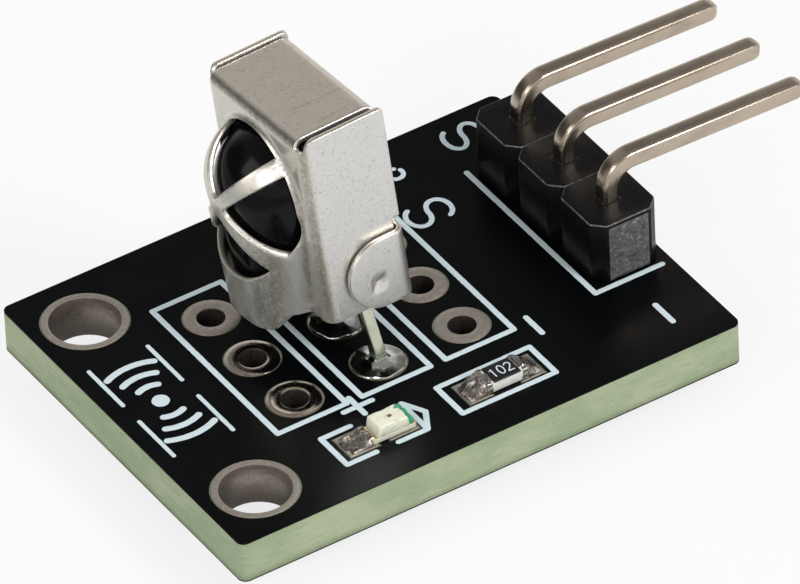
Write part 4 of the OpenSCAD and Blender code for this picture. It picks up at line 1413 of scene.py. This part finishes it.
class RECEIVER_OT_receiver(bpy.types.Operator):
    """Add the moulded body with its lens, the three leads and their solder"""
    bl_idname = "receiver.receiver"
    bl_label = "Receiver"

    def execute(self, context):
        module = context.scene.receiver_module
        board, header = values(module.board), values(module.header)
        shield, receiver = values(module.shield), values(module.receiver)
        matrix = can_matrix(shield)
        gap = shield.sheet + receiver.body_gap
        front, back, half = -shield.depth / 2 + gap, shield.depth / 2 - gap, shield.width / 2 - gap
        plan = rounded([(front, -half, 0.3), (back, -half, 0.05), (back, half, 0.05),
                        (front, half, 0.3)], 0.1, 6)
        block = slab([turned(plan)], shield.height - gap, shield.height - gap - receiver.body_foot,
                     0.18, 0.4, 0.15)
        inset = shield.sheet + receiver.lens_gap
        centre = (-shield.depth / 2 + shield.dome_inset, 0.0, shield.dome_z)
        mesh = ball_and_foot(shield.dome_r - inset, centre, chin_foot(shield, inset), -0.3)
        cut = bmesh.ops.bisect_plane(mesh, geom=mesh.verts[:] + mesh.edges[:] + mesh.faces[:],
                                     plane_co=(0, 0, receiver.body_foot), plane_no=(0, 0, 1),
                                     clear_inner=True)
        rim = [g for g in cut["geom_cut"] if isinstance(g, bmesh.types.BMEdge)]
        bmesh.ops.edgenet_fill(mesh, edges=rim)
        mesh.verts.index_update()
        lens = (np.array([tuple(v.co) for v in mesh.verts]),
                [tuple(v.index for v in f.verts) for f in mesh.faces])
        mesh.free()
        add_piece("receiver_body_moulding", moved(joined([block, lens]), matrix),
                  resin_finish(receiver), ["receiver_body"], sharp=45)
        metal = lead_finish(receiver)
        bar = section(receiver.lead_t, receiver.lead_w, 0.05)
        for name, index in (("receiver_lead_1", 1), ("receiver_lead_2", 0), ("receiver_lead_3", -1)):
            lead = swept(lead_stations(board, receiver, shield, header, index), bar)
            add_piece(name + "_bar", lead, metal, [name], sharp=35)
        solder = once("solder_metal", solder_finish, header)
        t, r, core = board.thickness, board.lead_pad / 2 - 0.05, 0.24
        profile = [(0.0, -0.72), (core + 0.1, -0.70), (core + 0.2, -0.5), (core + 0.3, -0.3),
                   (r - 0.12, -0.1), (r, -0.02), (r, 0.01),
                   (board.lead_hole / 2 - 0.01, 0.01), (board.lead_hole / 2 - 0.01, t - 0.01),
                   (r, t), (r - 0.02, t + 0.03), (r - 0.22, t + 0.05), (core + 0.22, t + 0.09),
                   (core + 0.1, t + 0.16), (core, t + 0.25), (0.0, t + 0.27)]
        places = hole_places(board, header)[0][3:6]
        cones = [roughened(turned_solid(profile, (*p, 0.0), 96, 0.10, p[1]), 0.012, 0.25, p[1])
                 for p in places]
        add_piece("receiver_solder_cones", joined(cones), solder,
                  ["receiver_solder"])
        return {"FINISHED"}


def block_solid(x0, x1, y0, y1, z0, z1, lip):
    """A block with rounded edges."""
    outline = box_outline(x0, y0, x1, y1, lip)
    return slab([outline], z1, z1 - z0, min(lip, 0.45 * (z1 - z0)), 0.12, 0.05)


def fillet_solid(x, side, reach, height, width, y, z, seed):
    """A lumpy solder fillet from a chip's end out to its pad's edge."""
    verts, faces = [], []
    columns, rows = 22, 20
    for i in range(columns + 1):
        s = i / columns
        for j in range(rows + 1):
            t = 2 * j / rows - 1
            edge = (1 - abs(t) ** 3.5) ** 0.6
            body = 0.72 * (1 - min(1.0, max(0.0, (s - 0.18) / 0.82)) ** 0.9) ** 1.3
            rise = height * (body + 0.26 * math.sqrt(max(0.0, 1 - s ** 4))) * edge
            spot = Vector((s * reach * 3, t * width * 3, seed))
            rise *= 1 + 0.34 * noise.noise(spot * 0.8) + 0.10 * noise.noise(spot * 2.0)
            across = t * width / 2 * (1 - 0.12 * s * s)
            out = s * reach * (1 - 0.10 * t * t)
            verts.append((x + side * out, y + across, z + max(rise, 0.004)))
    top = len(verts)
    verts += [(v[0], v[1], z) for v in verts]
    def at(i, j, low=0):
        return low * top + i * (rows + 1) + j
    for i in range(columns):
        for j in range(rows):
            faces.append((at(i, j), at(i + 1, j), at(i + 1, j + 1), at(i, j + 1)))
            faces.append((at(i, j, 1), at(i, j + 1, 1), at(i + 1, j + 1, 1), at(i + 1, j, 1)))
    for i in range(columns):
        for j in (0, rows):
            faces.append((at(i, j), at(i + 1, j), at(i + 1, j, 1), at(i, j, 1)))
    for j in range(rows):
        for i in (0, columns):
            faces.append((at(i, j), at(i, j + 1), at(i, j + 1, 1), at(i, j, 1)))
    return np.array(verts), faces


def figure_loops(x, y, height, w):
    """The figures 102, reading along X."""
    h = height / 2
    one = [stroke([(x - 0.30, y - h), (x - 0.30, y + h), (x - 0.37, y + h * 0.55)], w)]
    nought = [stroke(arc(x, y, 0.105, 0, 350, 24, flat=h / 0.105), w)]
    crook = arc(x + 0.29, y + h * 0.45, 0.095, 160, -30, 12, flat=h * 0.55 / 0.095)
    two = [stroke(crook + [(x + 0.19, y - h), ], w),
           stroke([(x + 0.19, y - h), (x + 0.40, y - h)], w)]
    return one + nought + two


class RECEIVER_OT_resistor(bpy.types.Operator):
    """Add the chip resistor with its figures and its solder"""
    bl_idname = "receiver.resistor"
    bl_label = "Resistor"

    def execute(self, context):
        module = context.scene.receiver_module
        board, chips = values(module.board), values(module.chips)
        header = values(module.header)
        x, y, z = chips.resistor_x, chips.chip_y, board.thickness
        a, b, h = chips.resistor_len / 2, chips.resistor_w / 2, chips.resistor_h
        body = block_solid(x - a + 0.02, x + a - 0.02, y - b + 0.02, y + b - 0.02,
                           z + 0.02, z + h - 0.03, 0.03)
        add_piece("resistor_ceramic_body", body,
                  speckled_finish("chip_ceramic", chips.ceramic_colour, 0.5, (0.45, 0.43, 0.38)),
                  ["resistor_ceramic"])
        c = chips.coat_len / 2
        coat = block_solid(x - c, x + c, y - b + 0.01, y + b - 0.01, z + h - 0.07, z + h, 0.03)
        add_piece("resistor_coat_film", coat,
                  speckled_finish("chip_coat", chips.coat_colour, 0.32, (0.035, 0.033, 0.03)),
                  ["resistor_coat"])
        caps = []
        for s in (-1, 1):
            inner, outer = x + s * (a - chips.cap_len), x + s * a
            caps.append(block_solid(min(inner, outer), max(inner, outer), y - b, y + b,
                                    z, z + h - 0.01, 0.035))
        add_piece("resistor_end_metal", joined(caps),
                  speckled_finish("end_cap_metal", chips.cap_colour, 0.3, (0.25, 0.22, 0.18),
                                  metallic=1.0), ["resistor_end_caps"])
        solder = once("dull_solder", dull_solder_finish, header)
        far = chips.resistor_gap / 2 + chips.resistor_pad - 0.02
        lumps = []
        for s in (-1, 1):
            reach = far - a - s * (chips.resistor_x - chips.resistor_pad_x) + 0.25
            lumps.append(fillet_solid(x + s * (a - 0.25), s, reach, h * 1.12, chips.pad_w - 0.06,
                                      chips.pad_y, z, 3.0 + s))
        add_piece("resistor_solder_lumps", joined(lumps), solder,
                  ["resistor_solder"], sharp=60)
        ink = bpy.data.materials["white_print"]
        loops = figure_loops(x, y, 0.42, 0.045)
        figures = sheet_solid(loops, flat_at(z + h + 0.006), 0.01, 0.003, 0.2, 0.03)
        add_piece("resistor_figures", figures, ink)
        return {"FINISHED"}


class RECEIVER_OT_lamp(bpy.types.Operator):
    """Add the chip lamp with its clear block and its solder"""
    bl_idname = "receiver.lamp"
    bl_label = "Lamp"

    def execute(self, context):
        module = context.scene.receiver_module
        board, chips = values(module.board), values(module.chips)
        header = values(module.header)
        x, y, z = chips.lamp_x, chips.chip_y, board.thickness
        a, b = chips.lamp_len / 2, chips.lamp_w / 2
        base = block_solid(x - a + 0.04, x + a - 0.04, y - b, y + b, z + 0.03,
                           z + chips.base_h, 0.02)
        add_piece("lamp_base_plate", base,
                  speckled_finish("lamp_board", chips.lamp_base_colour, 0.55, (0.45, 0.45, 0.33)),
                  ["lamp_base"])
        half = chips.lens_len / 2
        top = z + chips.base_h + chips.lens_h
        block = block_solid(x - half, x + half, y - b, y + b, z + chips.base_h - 0.01, top, 0.05)
        verts = np.array(block[0])
        up = (verts[:, 2] - z - chips.base_h) / chips.lens_h
        verts[:, 0] -= (verts[:, 0] - x) / half * np.clip(up, 0, 1) * chips.lens_slope
        block = roughened((verts, block[1]), 0.02, 0.3, 4.0)
        add_piece("lamp_clear_block", block, milky_finish(chips), ["lamp_lens"],
                  sharp=50)
        ends = []
        for s in (-1, 1):
            inner, outer = x + s * (half + 0.03), x + s * a
            ends.append(block_solid(min(inner, outer), max(inner, outer), y - b + 0.01, y + b - 0.01,
                                    z, z + chips.base_h + 0.03, 0.02))
        metal = speckled_finish("lamp_terminal_metal", chips.terminal_colour, 0.3,
                                (0.25, 0.20, 0.12), metallic=1.0)
        add_piece("lamp_end_metal", joined(ends), metal,
                  ["lamp_terminals"])
        solder = once("dull_solder", dull_solder_finish, header)
        reach = chips.lamp_gap / 2 + chips.lamp_pad - 0.02 - a + (chips.lamp_x - chips.lamp_pad_x)
        lump = fillet_solid(x - a + 0.1, -1, reach + 0.1, chips.base_h * 1.5, chips.pad_w - 0.1,
                            chips.pad_y, z, 7.0)
        add_piece("lamp_solder_lump", lump, solder, ["lamp_solder"], sharp=60)
        dot = block_solid(x - 0.02, x + 0.13, y - 0.08, y + 0.05, top - 0.02, top + 0.015, 0.012)
        add_piece("lamp_chip_dot", dot,
                  speckled_finish("lamp_chip", (0.16, 0.09, 0.05), 0.4, (0.05, 0.03, 0.02)))
        foot = z + chips.base_h
        marks = [block_solid(x + half - 0.12, x + half + 0.15, y - b + 0.02, y - b + 0.32,
                             foot - 0.02, foot + 0.24, 0.05),
                 block_solid(x + half - 0.08, x + half + 0.11, y - 0.08, y + 0.16,
                             foot - 0.02, foot + 0.34, 0.05),
                 block_solid(x + half - 0.30, x + half + 0.06, y + b - 0.24, y + b - 0.02,
                             foot - 0.02, foot + 0.40, 0.05)]
        add_piece("lamp_green_marks", joined(marks),
                  speckled_finish("lamp_green", chips.mark_colour, 0.35, (0.02, 0.15, 0.10)))
        return {"FINISHED"}


class RECEIVER_OT_stage(bpy.types.Operator):
    """Set up the floor, the soft light and the camera"""
    bl_idname = "receiver.stage"
    bl_label = "Stage"

    def execute(self, context):
        scene = context.scene
        stage = scene.receiver_module.stage
        scene.view_settings.view_transform = "Standard"
        add_floor(stage)
        add_world(scene, stage)
        middle = Vector((8, 0, 3)) * MM
        add_lamp("key_lamp", Vector((0.19, -0.34, 0.34)), middle, 0.16, stage.key)
        add_lamp("fill_lamp", Vector((-0.42, 0.05, 0.30)), middle, 0.26, stage.fill)
        add_lamp("spark_lamp", Vector((-0.30, -0.24, 0.25)), middle, 0.13, stage.spark)
        data = bpy.data.cameras.new("photo_camera")
        data.lens = stage.focal
        data.sensor_width = 36.0
        data.sensor_fit = "HORIZONTAL"
        data.clip_start = 0.01
        data.clip_end = 10.0
        camera = bpy.data.objects.new("photo_camera", data)
        right = Vector((0.83959, -0.54183, -0.03875))
        up = Vector((0.36885, 0.51628, 0.77292))
        back = right.cross(up)
        turn = Matrix((right, up, back)).transposed().to_4x4()
        place = Vector((-176.447, -308.268, 296.409)) * MM
        camera.matrix_world = Matrix.Translation(place) @ turn
        scene.collection.objects.link(camera)
        scene.camera = camera
        return {"FINISHED"}


def add_floor(stage):
    """A pale floor under the module's tails."""
    z = cad_box[0][2]
    mesh = bpy.data.meshes.new("floor")
    e = 3.0
    mesh.from_pydata([(-e, -e, z), (e, -e, z), (e, e, z), (-e, e, z)], [], [(0, 1, 2, 3)])
    floor = bpy.data.objects.new("floor", mesh)
    bpy.context.scene.collection.objects.link(floor)
    material = bpy.data.materials.new("floor_paper")
    material.use_nodes = True
    tree = material.node_tree
    shader = tree.nodes["Principled BSDF"]
    shader.inputs["Base Color"].default_value = (*stage.floor_colour, 1.0)
    shader.inputs["Roughness"].default_value = 0.9
    shader.inputs["Specular IOR Level"].default_value = 0.1
    glow = tree.nodes.new("ShaderNodeEmission")
    path = tree.nodes.new("ShaderNodeLightPath")
    keep = tree.nodes.new("ShaderNodeMath")
    keep.operation = "MULTIPLY"
    keep.inputs[1].default_value = 0.8
    mix = tree.nodes.new("ShaderNodeMixShader")
    tree.links.new(path.outputs["Is Camera Ray"], keep.inputs[0])
    tree.links.new(keep.outputs[0], mix.inputs[0])
    tree.links.new(shader.outputs[0], mix.inputs[1])
    tree.links.new(glow.outputs[0], mix.inputs[2])
    place = tree.nodes.new("ShaderNodeTexCoord")
    split = tree.nodes.new("ShaderNodeSeparateXYZ")
    fade = tree.nodes.new("ShaderNodeMapRange")
    fade.inputs["From Min"].default_value = -4 * MM
    fade.inputs["From Max"].default_value = -15 * MM
    fade.inputs["To Max"].default_value = 0.9
    shady = tree.nodes.new("ShaderNodeMath")
    shady.operation = "MULTIPLY"
    grey = tree.nodes.new("ShaderNodeEmission")
    grey.inputs["Color"].default_value = (0.9, 1.0, 1.0, 1.0)
    grey.inputs["Strength"].default_value = 0.36
    last = tree.nodes.new("ShaderNodeMixShader")
    tree.links.new(place.outputs["Object"], split.inputs[0])
    tree.links.new(split.outputs[0], fade.inputs["Value"])
    tree.links.new(fade.outputs["Result"], shady.inputs[0])
    tree.links.new(path.outputs["Is Glossy Ray"], shady.inputs[1])
    tree.links.new(shady.outputs[0], last.inputs[0])
    tree.links.new(mix.outputs[0], last.inputs[1])
    tree.links.new(grey.outputs[0], last.inputs[2])
    tree.links.new(last.outputs[0], tree.nodes["Material Output"].inputs["Surface"])
    mesh.materials.append(material)


def add_world(scene, stage):
    """Even light, with a white background for what the eye and gloss see."""
    world = bpy.data.worlds.new("studio")
    world.use_nodes = True
    scene.world = world
    tree = world.node_tree
    even = tree.nodes["Background"]
    even.inputs["Color"].default_value = (1, 1, 1, 1)
    even.inputs["Strength"].default_value = stage.ambient
    white = tree.nodes.new("ShaderNodeBackground")
    white.inputs["Color"].default_value = (1, 1, 1, 1)
    seen = tree.nodes.new("ShaderNodeBackground")
    path = tree.nodes.new("ShaderNodeLightPath")
    place = tree.nodes.new("ShaderNodeTexCoord")
    split = tree.nodes.new("ShaderNodeSeparateXYZ")
    fade = tree.nodes.new("ShaderNodeMapRange")
    fade.inputs["From Min"].default_value = 0.15
    fade.inputs["From Max"].default_value = 0.75
    fade.inputs["To Min"].default_value = 1.0
    fade.inputs["To Max"].default_value = 0.35
    tree.links.new(place.outputs["Generated"], split.inputs[0])
    tree.links.new(split.outputs[2], fade.inputs["Value"])
    dim = fade.outputs["Result"]
    for way, edge, core, least in (((0.399, 0.663, 0.633), 0.95, 0.99, 0.50),
                                   ((-0.68, 0.72, 0.08), 0.72, 0.93, 0.08)):
        reach = tree.nodes.new("ShaderNodeVectorMath")
        reach.operation = "DOT_PRODUCT"
        reach.inputs[1].default_value = way
        tree.links.new(place.outputs["Generated"], reach.inputs[0])
        card = tree.nodes.new("ShaderNodeMapRange")
        card.interpolation_type = "SMOOTHSTEP"
        card.inputs["From Min"].default_value = edge
        card.inputs["From Max"].default_value = core
        card.inputs["To Min"].default_value = 1.0
        card.inputs["To Max"].default_value = least
        tree.links.new(reach.outputs["Value"], card.inputs["Value"])
        both = tree.nodes.new("ShaderNodeMath")
        both.operation = "MULTIPLY"
        tree.links.new(dim, both.inputs[0])
        tree.links.new(card.outputs["Result"], both.inputs[1])
        dim = both.outputs[0]
    tree.links.new(dim, seen.inputs["Strength"])
    gloss = tree.nodes.new("ShaderNodeMath")
    gloss.operation = "MAXIMUM"
    tree.links.new(path.outputs["Is Glossy Ray"], gloss.inputs[0])
    tree.links.new(path.outputs["Is Transmission Ray"], gloss.inputs[1])
    first = tree.nodes.new("ShaderNodeMixShader")
    tree.links.new(gloss.outputs[0], first.inputs[0])
    tree.links.new(even.outputs[0], first.inputs[1])
    tree.links.new(seen.outputs[0], first.inputs[2])
    second = tree.nodes.new("ShaderNodeMixShader")
    tree.links.new(path.outputs["Is Camera Ray"], second.inputs[0])
    tree.links.new(first.outputs[0], second.inputs[1])
    tree.links.new(white.outputs[0], second.inputs[2])
    tree.links.new(second.outputs[0], tree.nodes["World Output"].inputs["Surface"])


def add_lamp(name, place, target, size, power):
    """A soft square lamp that points at the target."""
    data = bpy.data.lights.new(name, "AREA")
    data.shape = "SQUARE"
    data.size = size
    data.energy = power
    lamp = bpy.data.objects.new(name, data)
    lamp.location = place
    lamp.rotation_euler = (target - place).to_track_quat("-Z", "Y").to_euler()
    bpy.context.scene.collection.objects.link(lamp)


class RECEIVER_PT_panel(bpy.types.Panel):
    """Lists the module's pieces in the sidebar"""
    bl_idname = "RECEIVER_PT_panel"
    bl_label = "Receiver module"
    bl_space_type = "VIEW_3D"
    bl_region_type = "UI"
    bl_category = "Receiver"

    def draw(self, context):
        module = context.scene.receiver_module
        for group in ("board", "header", "shield", "receiver", "chips", "stage"):
            box = self.layout.box()
            box.label(text=group.capitalize())
            settings = getattr(module, group)
            for prop in settings.bl_rna.properties:
                if prop.identifier not in ("rna_type", "name"):
                    box.prop(settings, prop.identifier)
        for operator in OPERATORS:
            self.layout.operator(operator.bl_idname)


OPERATORS = (RECEIVER_OT_board, RECEIVER_OT_plating, RECEIVER_OT_print, RECEIVER_OT_header,
             RECEIVER_OT_shield, RECEIVER_OT_receiver, RECEIVER_OT_resistor, RECEIVER_OT_lamp,
             RECEIVER_OT_stage)
CLASSES = (BoardSettings, HeaderSettings, ShieldSettings, ReceiverSettings, ChipSettings,
           StageSettings, ModuleSettings, *OPERATORS, RECEIVER_PT_panel)


def register():
    for cls in CLASSES:
        bpy.utils.register_class(cls)
    bpy.types.Scene.receiver_module = PointerProperty(type=ModuleSettings)


def unregister():
    del bpy.types.Scene.receiver_module
    for cls in reversed(CLASSES):
        bpy.utils.unregister_class(cls)


def main():
    register()
    bpy.ops.receiver.board()
    bpy.ops.receiver.plating()
    bpy.ops.receiver.print()
    bpy.ops.receiver.header()
    bpy.ops.receiver.shield()
    bpy.ops.receiver.receiver()
    bpy.ops.receiver.resistor()
    bpy.ops.receiver.lamp()
    bpy.ops.receiver.stage()


if __name__ == "__main__":
    main()
